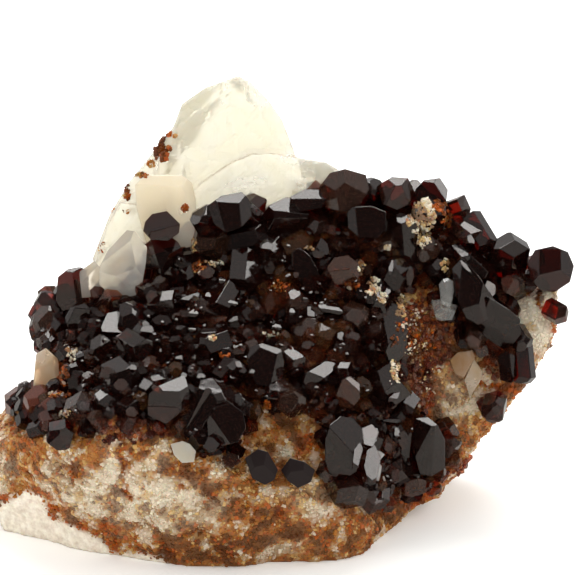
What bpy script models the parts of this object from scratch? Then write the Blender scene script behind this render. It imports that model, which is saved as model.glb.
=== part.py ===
"""A hand-sized mineral specimen: dark brown uvite crystals grown over a block of magnesite.

The block is rough, granular magnesite with a flat underside to rest on. Large pale magnesite
rhombs stand behind its crest, and a druse of stubby uvite crystals covers its sloping front.
Shapes are worked out in millimetres, +Z up, with the origin on the underside, and are scaled
to metres when they are handed over as objects.

Crystals are placed as a collector sees them from the display side. DISPLAY_TILT is how far
that view looks down, and a place on the display sheet is given in millimetres, to the right
and down from the sheet's top left corner. A crystal sits where the line of sight through its
place meets the rock.
"""

import math
import random

import bmesh
import bpy
from mathutils import Matrix, Vector, noise
from mathutils.bvhtree import BVHTree

METRES = 0.001  # metres in a millimetre

# The display view
DISPLAY_TILT = math.radians(20.0)
SHEET_SIDE = 57.5
SHEET_CENTRE = Vector((0.0, 6.0, 22.03))
EYE_DISTANCE = 400.0
RIGHT = Vector((1.0, 0.0, 0.0))
UP = Vector((0.0, math.sin(DISPLAY_TILT), math.cos(DISPLAY_TILT)))
TOWARDS = Vector((0.0, -math.cos(DISPLAY_TILT), math.sin(DISPLAY_TILT)))
EYE = SHEET_CENTRE + EYE_DISTANCE * TOWARDS

# Clearances and coatings
GAP = 0.3  # between two minerals that touch
CRUST_THICKNESS = 1.0  # the continuous uvite coating between the crystals
CRUST_SIMPLER = 0.2  # radians: gentler bends than this in the rock do not show in the coating

# The block, as cross-sections from left to right. Each is x, then (y, z) of its front foot,
# rim, crest, rear shoulder and rear foot, then how far the sloping face bulges forward.
SECTIONS = [
    (-31.0, (-1.6, -0.8), (-2.6, 6.4), (2.0, 7.4), (6.5, 6.0), (8.0, -0.8), 0.0),
    (-28.6, (-3.8, -0.8), (-4.8, 9.6), (2.4, 9.0), (8.0, 8.0), (10.2, -0.8), 0.2),
    (-25.9, (-5.4, -0.8), (-7.8, 11.2), (3.6, 11.4), (10.0, 10.8), (12.0, -0.8), 0.3),
    (-24.4, (-6.2, -0.8), (-9.2, 11.2), (4.6, 17.0), (11.0, 14.8), (13.2, -0.8), 0.5),
    (-21.2, (-8.2, -0.8), (-11.8, 11.8), (6.2, 20.6), (12.5, 18.6), (14.8, -0.8), 0.8),
    (-16.8, (-10.8, -0.8), (-13.9, 13.0), (7.4, 23.6), (14.0, 22.0), (16.2, -0.8), 0.8),
    (-12.3, (-12.6, -0.8), (-15.0, 13.0), (8.0, 25.8), (15.0, 25.6), (17.0, -0.8), 0.6),
    (-7.3, (-12.8, -0.8), (-14.7, 11.4), (8.0, 27.4), (15.5, 27.4), (17.6, -0.8), 0.6),
    (-1.8, (-11.6, -0.8), (-13.4, 7.6), (8.0, 28.2), (15.5, 27.8), (17.6, -0.8), 1.6),
    (3.3, (-12.0, -0.8), (-12.9, 7.0), (8.2, 29.6), (15.2, 28.0), (17.0, -0.8), 2.4),
    (7.3, (-9.4, -0.8), (-10.0, 4.8), (8.2, 30.2), (14.6, 28.4), (16.2, -0.8), 2.8),
    (11.3, (-3.0, -0.8), (-4.6, 3.2), (8.0, 29.4), (14.0, 27.4), (15.2, -0.8), 3.0),
    (14.8, (2.0, 1.4), (-1.2, 4.4), (7.6, 28.4), (13.2, 26.2), (13.6, 1.0), 2.4),
    (17.8, (2.8, 5.0), (-1.0, 8.0), (7.0, 27.0), (12.2, 24.8), (12.0, 5.0), 1.8),
    (21.3, (3.0, 9.2), (0.2, 12.2), (6.0, 24.0), (11.0, 21.8), (10.8, 9.0), 1.2),
    (24.3, (3.4, 14.4), (1.4, 16.8), (5.4, 23.2), (9.6, 20.8), (9.4, 14.2), 0.8),
    (27.1, (3.6, 19.6), (2.6, 21.0), (5.0, 22.6), (7.6, 21.4), (7.4, 19.6), 0.0),
]
WALL_BULGE = 0.7  # of the front, rear and underside between their corners

SECTION_STEPS = 2  # cross-sections filled in from each one in the table to the next

# Flat cleavages across the broken rock: a point on each and the direction it faces
CLEAVAGES = [
    ((-24.0, -9.0, 3.0), (-0.62, -0.76, -0.18)),
    ((-29.6, -2.0, 4.0), (-0.95, -0.25, -0.18)),
    ((-10.0, 16.0, 12.0), (-0.16, 0.97, 0.16)),
    ((12.0, 14.6, 14.0), (0.34, 0.93, -0.12)),
    ((-24.0, 12.0, 8.0), (-0.58, 0.80, 0.14)),
    ((2.0, 16.4, 24.0), (0.10, 0.74, 0.66)),
]

# Roughness of the broken rock: (size of the lumps, height of the lumps)
LUMPS = (7.5, 1.1)
KNOBS = (2.6, 0.55)
CALM_UNDER_CRUST = 0.55  # the rock under the crystals is this much smoother

# Where the uvite coats the block, as outlines on the display sheet
DRUSE_OUTLINE = [
    (3.6, 31.5), (5.8, 28.0), (8.8, 30.0), (13.6, 29.4), (15.0, 23.4), (20.4, 21.6), (27.0, 21.0),
    (33.0, 19.6), (39.0, 19.2), (43.6, 19.8), (46.8, 22.0), (49.0, 25.0), (53.0, 26.4),
    (53.5, 28.6), (50.5, 30.5), (52.0, 35.5), (49.0, 35.2), (45.6, 34.0), (43.6, 29.5),
    (41.6, 27.0), (39.4, 31.0), (40.2, 35.6), (39.6, 38.6), (41.5, 41.6), (45.2, 43.5),
    (44.2, 47.6), (40.0, 49.8), (34.0, 49.6), (33.0, 46.0), (32.0, 42.0), (28.6, 40.6),
    (25.0, 41.6), (24.0, 44.4), (21.0, 45.6), (17.4, 43.2), (13.0, 42.6), (9.0, 43.6),
    (7.4, 42.6), (7.7, 40.6), (7.0, 39.0), (7.4, 36.4), (4.6, 34.6),
]

LEDGE_OUTLINE = [
    (0.6, 39.6), (2.2, 38.9), (4.4, 39.0), (6.2, 39.3), (7.2, 40.4), (6.4, 41.8), (5.6, 43.2),
    (4.2, 43.0), (3.0, 41.8), (1.0, 41.6),
]
DRUSE_REACH = 9.6  # the coating ends at this depth (y), just behind the crest
LEDGE_REACH = 1.5

# Uvite habit: angle of the faces of the two pyramids from the basal plane
FLAT_PYRAMID = math.radians(27.6)
STEEP_PYRAMID = math.radians(46.3)

# The uvite crystals that give the druse its look: (right, down) of the middle on the display
# sheet, width across the prism, length, heading of the tip in the sheet (0 is right, 90 is
# up), nod of the tip away from the viewer, spin about the prism, and share that stands out.
UVITES = [
    # along the crest, left to right
    (16.5, 22.6, 3.3, 3.4, 100, 40, 20, 0.45),
    (16.9, 25.2, 3.6, 4.4, 50, 52, 0, 0.50),
    (20.3, 21.9, 2.7, 2.8, 120, 55, 40, 0.35),
    (22.6, 21.3, 4.0, 4.0, 75, 46, 0, 0.42),
    (25.3, 20.6, 2.3, 2.6, 80, 60, 15, 0.30),
    (25.2, 21.8, 1.9, 3.6, 140, 70, 5, 0.30),
    (28.6, 21.7, 4.3, 4.4, 85, 40, 2, 0.50),
    (30.7, 19.9, 3.2, 3.4, 60, 62, 25, 0.40),
    (34.6, 18.8, 4.5, 4.4, 70, 56, 12, 0.42),
    (33.4, 19.9, 2.2, 2.4, 110, 45, 40, 0.40),
    (36.8, 19.2, 2.9, 3.0, 95, 50, 10, 0.35),
    (39.5, 19.9, 3.8, 4.0, 80, 40, 30, 0.40),
    (41.4, 19.6, 2.6, 3.4, 40, 60, 10, 0.30),
    (43.3, 19.5, 3.5, 3.5, 70, 55, 45, 0.36),
    (45.6, 20.8, 2.0, 2.8, 20, 60, 0, 0.35),
    # upper middle
    (21.0, 24.2, 3.7, 3.8, 285, 25, 14, 0.35),
    (25.1, 24.1, 3.1, 4.6, 10, 66, 10, 0.35),
    (28.6, 23.4, 2.0, 2.6, 260, 50, 25, 0.30),
    (31.6, 22.6, 2.3, 3.0, 330, 55, 5, 0.30),
    (37.0, 22.3, 4.3, 4.6, 350, 34, 8, 0.50),
    (38.5, 24.3, 2.0, 3.2, 10, 70, 30, 0.30),
    (40.5, 23.7, 3.0, 5.2, 95, 72, 20, 0.45),
    (42.6, 25.1, 2.4, 2.6, 300, 40, 50, 0.40),
    (32.2, 25.2, 2.2, 2.6, 40, 50, 30, 0.25),
    (26.8, 25.6, 3.4, 3.6, 230, 48, 6, 0.25),
    (30.6, 26.9, 2.4, 4.6, 118, 68, 22, 0.40),
    (34.5, 27.3, 3.4, 3.4, 75, 40, 18, 0.45),
    (39.4, 27.4, 3.2, 3.6, 200, 40, 12, 0.35),
    (43.6, 27.0, 2.2, 2.4, 130, 42, 30, 0.35),
    (24.4, 27.6, 3.3, 4.4, 265, 60, 18, 0.25),
    (20.6, 27.2, 2.3, 2.6, 330, 40, 34, 0.35),
    (18.8, 27.6, 2.0, 2.2, 120, 44, 12, 0.25),
    # right shoulder
    (46.6, 23.2, 2.2, 3.6, 320, 62, 12, 0.40),
    (48.0, 23.4, 2.2, 4.2, 300, 68, 40, 0.45),
    (46.4, 25.6, 1.9, 2.4, 310, 55, 20, 0.35),
    (47.6, 26.6, 2.2, 4.8, 315, 70, 5, 0.40),
    (47.4, 29.6, 4.3, 5.6, 300, 62, 24, 0.40),
    (50.9, 25.4, 3.5, 3.7, 80, 52, 14, 0.50),
    (54.9, 27.0, 4.3, 4.3, 335, 34, 22, 0.60),
    (51.3, 28.3, 2.4, 2.6, 100, 40, 40, 0.35),
    (49.1, 28.9, 2.0, 2.4, 30, 50, 10, 0.35),
    (50.2, 32.0, 3.1, 7.0, 305, 74, 16, 0.50),
    (47.5, 33.8, 2.0, 2.2, 280, 30, 0, 0.40),
    (52.0, 34.0, 2.0, 2.6, 300, 60, 30, 0.35),
    (52.4, 36.5, 2.0, 4.0, 275, 74, 10, 0.50),
    # left shoulder
    (7.4, 28.9, 3.3, 4.6, 98, 66, 24, 0.50),
    (4.8, 32.1, 2.9, 3.0, 160, 38, 10, 0.45),
    (5.0, 34.0, 2.2, 2.6, 230, 50, 32, 0.40),
    (7.8, 31.7, 3.0, 3.0, 20, 12, 6, 0.40),
    (11.2, 32.5, 2.5, 2.8, 300, 34, 34, 0.45),
    (13.2, 31.9, 3.1, 3.2, 60, 24, 16, 0.40),
    (11.4, 30.0, 2.3, 3.4, 60, 62, 0, 0.30),
    (16.4, 31.0, 2.6, 4.2, 105, 64, 20, 0.35),
    # middle of the slope
    (22.0, 30.4, 3.0, 3.8, 240, 52, 20, 0.20),
    (29.8, 30.3, 2.4, 2.6, 60, 40, 12, 0.30),
    (35.8, 31.6, 2.2, 2.4, 340, 60, 8, 0.35),
    (30.8, 33.0, 2.2, 2.6, 20, 44, 22, 0.25),
    (37.8, 30.2, 2.2, 3.0, 240, 50, 36, 0.25),
    (39.2, 33.0, 2.7, 5.8, 98, 78, 25, 0.50),
    (40.4, 34.6, 2.0, 2.8, 60, 60, 10, 0.35),
    (35.0, 34.2, 1.8, 2.6, 80, 60, 20, 0.30),
    (21.0, 34.6, 2.8, 3.4, 200, 60, 0, 0.20),
    (14.0, 35.0, 3.2, 3.6, 330, 50, 32, 0.20),
    (26.6, 35.8, 3.4, 3.6, 95, 50, 0, 0.40),
    (29.6, 36.2, 2.0, 2.4, 320, 55, 14, 0.25),
    (32.0, 37.0, 2.0, 4.0, 35, 70, 8, 0.35),
    (34.4, 38.2, 2.0, 4.4, 100, 70, 35, 0.35),
    (35.0, 39.4, 3.0, 3.6, 62, 52, 25, 0.50),
    (38.6, 38.6, 4.1, 4.3, 20, 46, 10, 0.50),
    (23.5, 37.4, 2.0, 3.0, 70, 56, 18, 0.40),
    (27.7, 39.4, 2.3, 3.0, 95, 60, 4, 0.40),
    (29.0, 40.2, 2.6, 2.6, 310, 34, 20, 0.35),
    (24.0, 40.6, 2.2, 2.6, 150, 50, 40, 0.20),
    (17.0, 39.6, 4.0, 4.8, 97, 58, 2, 0.60),
    (20.8, 40.8, 4.0, 6.0, 60, 72, 0, 0.30),
    (12.2, 38.0, 3.4, 3.6, 320, 36, 18, 0.30),
    (10.4, 40.4, 2.3, 2.6, 60, 50, 10, 0.25),
    (13.1, 41.0, 2.0, 2.2, 340, 40, 22, 0.30),
    (8.4, 40.8, 2.6, 2.8, 30, 48, 38, 0.35),
    (6.0, 43.6, 2.4, 2.4, 280, 26, 12, 0.35),
    (22.6, 43.0, 4.2, 4.6, 300, 40, 24, 0.40),
    (21.1, 44.2, 1.8, 2.0, 200, 45, 6, 0.30),
    # the nose, low on the right
    (34.4, 44.4, 3.7, 5.8, 88, 72, 28, 0.60),
    (33.0, 47.0, 2.0, 2.8, 200, 60, 10, 0.30),
    (34.8, 49.0, 3.2, 3.4, 300, 44, 16, 0.45),
    (37.0, 44.6, 2.0, 4.0, 70, 66, 12, 0.45),
    (36.8, 46.8, 2.2, 3.2, 80, 62, 40, 0.45),
    (37.7, 49.4, 2.3, 3.0, 265, 56, 0, 0.40),
    (39.4, 47.0, 2.4, 2.6, 350, 44, 14, 0.40),
    (40.4, 44.4, 2.0, 3.8, 85, 70, 30, 0.40),
    (38.9, 43.4, 1.8, 2.6, 60, 60, 8, 0.30),
    (42.9, 44.9, 3.3, 6.8, 92, 76, 12, 0.60),
    (41.3, 48.3, 2.3, 2.5, 300, 40, 26, 0.40),
    (45.0, 44.3, 1.9, 2.3, 60, 48, 10, 0.40),
    (44.6, 42.9, 1.8, 2.2, 120, 46, 35, 0.30),
]

# The druse on the ledge at the left, apart from the main one
LEDGE_UVITES = [
    (2.2, 40.4, 3.0, 3.4, 150, 56, 10, 0.40),
    (4.0, 40.2, 2.9, 3.2, 80, 50, 32, 0.40),
    (5.6, 40.4, 2.2, 2.6, 40, 56, 5, 0.35),
    (4.9, 42.2, 1.7, 1.9, 300, 40, 20, 0.30),
]

# Uvites that stand on their own, away from the druse: same values, each a piece of its own
LONE_UVITES = {
    "uvite_crystal_front_left": (26.1, 46.5, 3.4, 3.7, 280, 30, 12, 0.30),
    "uvite_crystal_front_right": (30.2, 47.4, 3.2, 3.5, 300, 34, 30, 0.30),
    "uvite_crystal_flank_lower": (49.4, 40.9, 2.4, 2.6, 250, 40, 25, 0.40),
    "uvite_crystal_tip": (55.7, 31.2, 1.9, 2.4, 330, 50, 8, 0.45),
}

# Pale magnesite rhombs. Each outline is on the display sheet and runs round the crystal; the
# crystal reaches from its near to its far depth (y), and slanting faces then trim it:
# each is (right, down, y) of a point on the face, and the face's outward direction (x, y, z).
RHOMBS = {
    "tall": (
        [(17.0, 13.6), (18.2, 10.4), (20.5, 8.8), (23.8, 7.6), (25.0, 8.2), (26.8, 10.0),
         (28.2, 12.0), (29.4, 15.0), (29.8, 23.0), (17.0, 23.0)],
        9.6, 15.6,
        [((22.0, 9.6, 9.6), (-0.35, -0.85, 0.40)), ((26.6, 12.0, 9.6), (0.62, -0.70, 0.36)),
         ((20.0, 12.0, 15.2), (-0.60, 0.70, 0.38)), ((25.0, 9.0, 15.2), (0.40, 0.80, 0.46))],
    ),
    "flank": (
        [(18.2, 13.0), (17.2, 12.9), (13.0, 18.1), (11.0, 21.4), (9.2, 26.0), (12.0, 28.0),
         (18.4, 24.0)],
        8.2, 13.0,
        [((13.4, 21.5, 8.2), (-0.30, -0.88, 0.36)), ((11.6, 20.6, 13.0), (-0.62, 0.66, 0.42))],
    ),
    "middle": (
        [(15.6, 16.0), (17.6, 13.7), (20.0, 14.1), (24.4, 15.0), (25.4, 18.0), (22.0, 22.0),
         (16.0, 22.0)],
        8.8, 12.4,
        [((20.0, 16.2, 8.8), (0.10, -0.80, 0.60)), ((24.6, 16.4, 9.0), (0.70, -0.60, 0.40))],
    ),
    "wedge": (
        [(19.2, 17.8), (23.2, 16.2), (24.4, 15.4), (27.0, 15.3), (33.0, 16.3), (35.0, 17.8),
         (34.6, 24.0), (20.0, 24.0)],
        7.6, 12.0,
        [((28.6, 17.4, 7.6), (0.35, -0.80, 0.50)), ((22.0, 17.6, 7.6), (-0.45, -0.75, 0.50)),
         ((30.0, 17.6, 12.0), (0.30, 0.86, 0.42))],
    ),
    "foot": (
        [(12.0, 20.2), (13.8, 20.5), (15.6, 22.6), (15.6, 27.0), (9.0, 28.0), (10.7, 22.6)],
        5.6, 11.0,
        [((11.6, 24.0, 5.6), (-0.50, -0.80, 0.36))],
    ),
    "block": (
        [(13.5, 18.5), (14.5, 17.5), (18.2, 17.5), (19.2, 18.3), (19.6, 20.4), (19.4, 24.6),
         (15.0, 25.6), (13.7, 21.0)],
        5.4, 9.6,
        [((16.4, 18.6, 5.4), (0.05, -0.62, 0.78)), ((19.0, 20.4, 5.4), (0.72, -0.62, 0.30))],
    ),
    "grey": (
        [(9.8, 27.0), (10.8, 25.0), (12.7, 23.0), (13.9, 23.3), (14.8, 24.8), (14.9, 27.0),
         (14.0, 29.6), (11.2, 29.8), (9.9, 28.4)],
        0.6, 6.2,
        [((11.4, 25.6, 0.6), (-0.55, -0.74, 0.38)), ((14.2, 25.0, 0.6), (0.66, -0.66, 0.36)),
         ((13.0, 28.4, 0.6), (0.20, -0.90, -0.36)), ((12.4, 24.6, 6.2), (-0.20, 0.80, 0.56))],
    ),
    "chip": (
        [(7.9, 27.2), (9.4, 26.1), (10.3, 27.0), (10.2, 29.6), (8.2, 29.8)],
        2.6, 6.4,
        [((8.8, 27.6, 2.6), (-0.52, -0.72, 0.46))],
    ),
    "left": (
        [(3.6, 35.4), (4.6, 34.8), (5.8, 35.9), (6.0, 38.4), (4.8, 39.6), (3.3, 38.9)],
        -3.4, 2.4,
        [((4.6, 36.4, -3.4), (-0.30, -0.82, 0.48)), ((5.6, 37.8, -3.4), (0.66, -0.74, 0.10))],
    ),
}

# Small magnesite rhombs: (right, down) on the display sheet, edge length, heading, lean, spin
# and share that stands out, as for the uvites
SMALL_RHOMBS = {
    "cream": [(17.9, 45.6, 2.2, 250, 30, 10, 0.15)],
    "flank": [(46.3, 36.6, 2.3, 230, 34, 20, 0.10), (47.6, 38.1, 2.2, 300, 46, 50, 0.10)],
    "nose": [(36.6, 43.6, 1.5, 110, 60, 10, 1.50), (37.1, 45.4, 1.5, 80, 50, 30, 1.50),
             (36.9, 47.2, 1.7, 300, 40, 15, 1.30)],
}
RHOMB_LEAN = math.radians(65.0)  # between a rhomb's edges and its axis

# The clear crystal on the right: as for a uvite, but slimmer and pointed at both ends
CLEAR = (44.5, 30.0, 2.5, 4.7, 112, 72, 12, 0.35)


SPUR_PARTS = ("flank", "middle", "wedge", "foot")  # grown into the tall crystal
PALE = (0.86, 0.80, 0.70)
DARK = (0.03, 0.012, 0.008)

# The pale crystals that are pieces of their own, the nearest first
PALE_CRYSTALS = {
    "grey": ("magnesite_crystal_grey", (0.55, 0.50, 0.46)),
    "chip": ("magnesite_crystal_chip", (0.62, 0.57, 0.52)),
    "left": ("magnesite_crystal_left", (0.80, 0.70, 0.58)),
    "block": ("magnesite_crystal_block", (0.85, 0.74, 0.62)),
}


def remove_everything():
    for item in list(bpy.data.objects):
        bpy.data.objects.remove(item, do_unlink=True)


def at_depth(right, down, depth):
    """The point seen at a place on the display sheet, where the line of sight crosses y = depth."""
    middle = SHEET_SIDE / 2
    place = SHEET_CENTRE + (right - middle) * RIGHT + (middle - down) * UP
    sight = place - EYE
    return EYE + sight * ((depth - EYE.y) / sight.y)


def cleave(faces, grow=0.0):
    """The convex body behind every face, each a (point, outward direction) in millimetres."""
    body = bmesh.new()
    bmesh.ops.create_cube(body, size=160.0)
    for point, outward in faces:
        direction = Vector(outward).normalized()
        bmesh.ops.bisect_plane(
            body, geom=body.verts[:] + body.edges[:] + body.faces[:], dist=0.0001,
            plane_co=Vector(point) + grow * direction, plane_no=direction, clear_outer=True)
        rim = [edge for edge in body.edges if edge.is_boundary]
        if rim:
            bmesh.ops.edgeloop_fill(body, edges=rim)
    bmesh.ops.recalc_face_normals(body, faces=body.faces)
    return body


def outline_faces(outline, near, far):
    """Faces that follow a convex outline on the display sheet between two depths."""
    front = [at_depth(right, down, near) for right, down in outline]
    middle = sum(front, Vector()) / len(front)
    faces = [(front[0], (0.0, -1.0, 0.0)), (at_depth(*outline[0], far), (0.0, 1.0, 0.0))]
    for index, start in enumerate(front):
        end = front[(index + 1) % len(front)]
        outward = (end - start).cross(start - EYE)
        if outward.dot(start - middle) < 0.0:
            outward.negate()
        faces.append((start, outward))
    return faces


def slab(outline, near, far, trims, grow=0.0):
    faces = outline_faces(outline, near, far)
    faces += [(at_depth(*place), outward) for place, outward in trims]
    return cleave(faces, grow)


def smooth_between(table, count):
    """A table of cross-sections, filled in so that neighbours are near each other."""
    rows = []
    for first, second in zip(table, table[1:]):
        for step in range(count):
            share = step / count
            row = [first[0] + share * (second[0] - first[0])]
            for start, end in zip(first[1:6], second[1:6]):
                row.append(tuple(a + share * (b - a) for a, b in zip(start, end)))
            row.append(first[6] + share * (second[6] - first[6]))
            rows.append(row)
    rows.append(list(table[-1]))
    return rows


def section_ring(row):
    """The closed outline of one cross-section, as points in space."""
    x, front_foot, rim, crest, shoulder, rear_foot, bulge = row
    sides = [(front_foot, rim, 4, WALL_BULGE), (rim, crest, 9, bulge), (crest, shoulder, 4, 0.3),
             (shoulder, rear_foot, 10, WALL_BULGE), (rear_foot, front_foot, 9, 0.0)]
    ring = []
    for start, end, count, swell in sides:
        a = Vector((x, *start))
        b = Vector((x, *end))
        along = b - a
        outward = Vector((0.0, -along.z, along.y)).normalized()
        for step in range(count):
            share = step / count
            ring.append(a + along * share + outward * swell * math.sin(math.pi * share))
    return ring


def rock_block():
    """The magnesite block: lofted, roughened, cleaved in places, and cut flat to rest on."""
    body = bmesh.new()
    rings = [[body.verts.new(point) for point in section_ring(row)]
             for row in smooth_between(SECTIONS, SECTION_STEPS)]
    for ring, following in zip(rings, rings[1:]):
        for index in range(len(ring)):
            after = (index + 1) % len(ring)
            body.faces.new((ring[index], ring[after], following[after], following[index]))
    for ring in (rings[0], rings[-1]):
        tip = body.verts.new(sum((vert.co for vert in ring), Vector()) / len(ring))
        for index, vert in enumerate(ring):
            body.faces.new((vert, ring[(index + 1) % len(ring)], tip))
    bmesh.ops.recalc_face_normals(body, faces=body.faces)
    body.normal_update()
    moves = []
    for vert in body.verts:
        lump = LUMPS[1] * noise.noise(vert.co / LUMPS[0])
        knob = KNOBS[1] * noise.noise(vert.co / KNOBS[0] + Vector((7.3, 2.1, 5.7)))
        covered = vert.normal.y < -0.2 and vert.normal.z > 0.35
        moves.append(vert.normal * (lump + knob) * (CALM_UNDER_CRUST if covered else 1.0))
    for vert, move in zip(body.verts, moves):
        vert.co += move
    for point, outward in CLEAVAGES + [((0.0, 0.0, 0.0), (0.0, 0.0, -1.0))]:
        bmesh.ops.bisect_plane(
            body, geom=body.verts[:] + body.edges[:] + body.faces[:], dist=0.0001,
            plane_co=point, plane_no=Vector(outward).normalized(), clear_outer=True)
        bmesh.ops.holes_fill(body, edges=[edge for edge in body.edges if edge.is_boundary])
    bmesh.ops.triangulate(body, faces=body.faces)
    return largest_piece(body)


def zone(outline, reach):
    """A region of the display sheet, carried back through the rock as far as the coating goes."""
    body = bmesh.new()
    near = [body.verts.new(at_depth(right, down, -30.0)) for right, down in outline]
    far = [body.verts.new(at_depth(right, down, reach)) for right, down in outline]
    for index in range(len(outline)):
        after = (index + 1) % len(outline)
        body.faces.new((near[index], near[after], far[after], far[index]))
    body.faces.new(near)
    body.faces.new(far)
    bmesh.ops.recalc_face_normals(body, faces=body.faces)
    return body


def swollen(body, distance, simpler=0.002):
    """A copy of a rough body, grown evenly by a distance and made simpler by an angle."""
    grown = body.copy()
    bmesh.ops.dissolve_limit(grown, angle_limit=simpler, verts=grown.verts, edges=grown.edges)
    bmesh.ops.triangulate(grown, faces=grown.faces)
    grown.normal_update()
    moves = [vert.normal * distance * min(vert.calc_shell_factor(), 1.6) for vert in grown.verts]
    for vert, move in zip(grown.verts, moves):
        vert.co += move
    return grown


def as_object(name, body):
    mesh = bpy.data.meshes.new(name)
    body.to_mesh(mesh)
    item = bpy.data.objects.new(name, mesh)
    bpy.context.scene.collection.objects.link(item)
    return item


def combine(body, operation, tools):
    """A body joined with, cut by or kept within some closed tool bodies."""
    target = as_object("work", body)
    group = bpy.data.collections.new("tools")
    bpy.context.scene.collection.children.link(group)
    for tool in tools:
        item = bpy.data.objects.new("tool", bpy.data.meshes.new("tool"))
        tool.to_mesh(item.data)
        item.hide_render = True
        item.display_type = "WIRE"
        group.objects.link(item)
    if operation == "UNION":
        step = target.modifiers.new("join", "BOOLEAN")
        step.operation = operation
        step.solver = "EXACT"
        step.operand_type = "COLLECTION"
        step.collection = group
    else:
        for item in group.objects:
            step = target.modifiers.new("cut", "BOOLEAN")
            step.operation = operation
            step.solver = "EXACT"
            step.object = item
    evaluated = target.evaluated_get(bpy.context.evaluated_depsgraph_get())
    result = bmesh.new()
    result.from_mesh(evaluated.to_mesh())
    for item in list(group.objects) + [target]:
        bpy.data.objects.remove(item, do_unlink=True)
    bpy.data.collections.remove(group)
    return result


def islands(body):
    """The separate pieces of a body, as lists of faces."""
    body.faces.index_update()
    seen = set()
    found = []
    for face in body.faces:
        if face.index in seen:
            continue
        seen.add(face.index)
        piece = [face]
        for member in piece:
            for edge in member.edges:
                for other in edge.link_faces:
                    if other.index not in seen:
                        seen.add(other.index)
                        piece.append(other)
        found.append(piece)
    return found


def tidy(body):
    """Clean up after combining, and keep the largest piece."""
    bmesh.ops.remove_doubles(body, verts=body.verts, dist=0.0001)
    bmesh.ops.dissolve_limit(body, angle_limit=0.004, verts=body.verts, edges=body.edges)
    bmesh.ops.triangulate(body, faces=body.faces)
    bmesh.ops.dissolve_degenerate(body, edges=body.edges, dist=0.0001)
    return largest_piece(body)


def largest_piece(body):
    """Leave only the largest piece of a body, facing outwards."""
    pieces = sorted(islands(body), key=len)
    for piece in pieces[:-1]:
        bmesh.ops.delete(body, geom=piece, context="FACES")
    loose = [vert for vert in body.verts if not vert.link_faces]
    bmesh.ops.delete(body, geom=loose, context="VERTS")
    bmesh.ops.recalc_face_normals(body, faces=body.faces)
    return body


def direction_of(heading, lean):
    """The way a tip points: its heading on the display sheet, and its lean from the viewer."""
    across = math.radians(heading)
    away = math.radians(lean)
    flat = math.cos(across) * RIGHT + math.sin(across) * UP
    return math.cos(away) * TOWARDS + math.sin(away) * flat


def standing(surface, right, down, heading, lean, spin, height):
    """Where a crystal stands: its middle on the line of sight, a height in front of the rock."""
    sight = (at_depth(right, down, 0.0) - EYE).normalized()
    hit = surface.ray_cast(EYE, sight)[0]
    if hit is None:
        nearest = surface.find_nearest(at_depth(right, down, 6.0))[0]
        hit = EYE + sight * (nearest - EYE).dot(sight)
    middle = hit - sight * height
    tip = direction_of(heading, lean)
    turn = tip.to_track_quat("Z", "Y").to_matrix().to_4x4()
    return Matrix.Translation(middle) @ turn @ Matrix.Rotation(math.radians(spin), 4, "Z")


def uvite_faces(width, length, seed, pointed_twice=False):
    """The faces of one uvite: a six-sided prism under a low three-faced pyramid."""
    chance = random.Random(seed)
    half = width / 2
    faces = []
    for side in range(6):
        angle = math.radians(60.0 * side + 30.0)
        outward = Vector((math.cos(angle), math.sin(angle), 0.0))
        faces.append((outward * half * chance.uniform(0.88, 1.06), outward))
    for side in range(3):
        angle = math.radians(120.0 * side)
        tilt = STEEP_PYRAMID if pointed_twice else FLAT_PYRAMID
        outward = Vector((math.sin(tilt) * math.cos(angle), math.sin(tilt) * math.sin(angle),
                          math.cos(tilt)))
        apex = Vector((0.0, 0.0, length / 2 + half * chance.uniform(-0.16, 0.10)))
        faces.append((apex, outward))
        if pointed_twice:
            faces.append((-apex, -outward))
    if not pointed_twice:
        faces.append((Vector((0.0, 0.0, -length / 2)), Vector((0.0, 0.0, -1.0))))
    kind = chance.random()
    if kind < 0.40:
        level = length / 2 - half * chance.uniform(0.10, 0.22)
        faces.append((Vector((0.0, 0.0, level)), Vector((0.0, 0.0, 1.0))))
    if 0.25 < kind < 0.75:
        for side in range(3):
            angle = math.radians(120.0 * side + 60.0)
            outward = Vector((math.sin(STEEP_PYRAMID) * math.cos(angle),
                              math.sin(STEEP_PYRAMID) * math.sin(angle), math.cos(STEEP_PYRAMID)))
            reach = half * math.sin(STEEP_PYRAMID) + (length / 2) * math.cos(STEEP_PYRAMID)
            reach -= half * chance.uniform(0.30, 0.42)
            faces.append((outward * reach, outward))
    return faces


def uvite(surface, values, seed, grow=0.0, pointed_twice=False):
    right, down, width, length, heading, lean, spin, share = values
    body = cleave(uvite_faces(width, length, seed, pointed_twice), grow)
    height = CRUST_THICKNESS + share * width
    body.transform(standing(surface, right, down, heading, lean, spin, height))
    return body


def rhomb(surface, values, grow=0.0):
    """One small magnesite rhomb, three edges meeting at equal angles round its axis."""
    right, down, edge, heading, lean, spin, share = values
    body = bmesh.new()
    bmesh.ops.create_cube(body, size=edge + 2.0 * grow)
    slant = Matrix.Identity(4)
    for column in range(3):
        angle = math.radians(120.0 * column)
        slant[0][column] = math.sin(RHOMB_LEAN) * math.cos(angle)
        slant[1][column] = math.sin(RHOMB_LEAN) * math.sin(angle)
        slant[2][column] = math.cos(RHOMB_LEAN)
    body.transform(slant)
    body.transform(standing(surface, right, down, heading, lean, spin, share * edge))
    bmesh.ops.recalc_face_normals(body, faces=body.faces)
    return body


def hand_over(name, body, colour, roughness):
    """Make a finished body a named object in metres, with a material of its own."""
    bmesh.ops.scale(body, vec=(METRES, METRES, METRES), verts=body.verts)
    item = as_object(name, body)
    material = bpy.data.materials.new(name + "_material")
    material.use_nodes = True
    shader = material.node_tree.nodes["Principled BSDF"]
    shader.inputs["Base Color"].default_value = (*colour, 1.0)
    shader.inputs["Roughness"].default_value = roughness
    item.data.materials.append(material)
    return item


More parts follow.
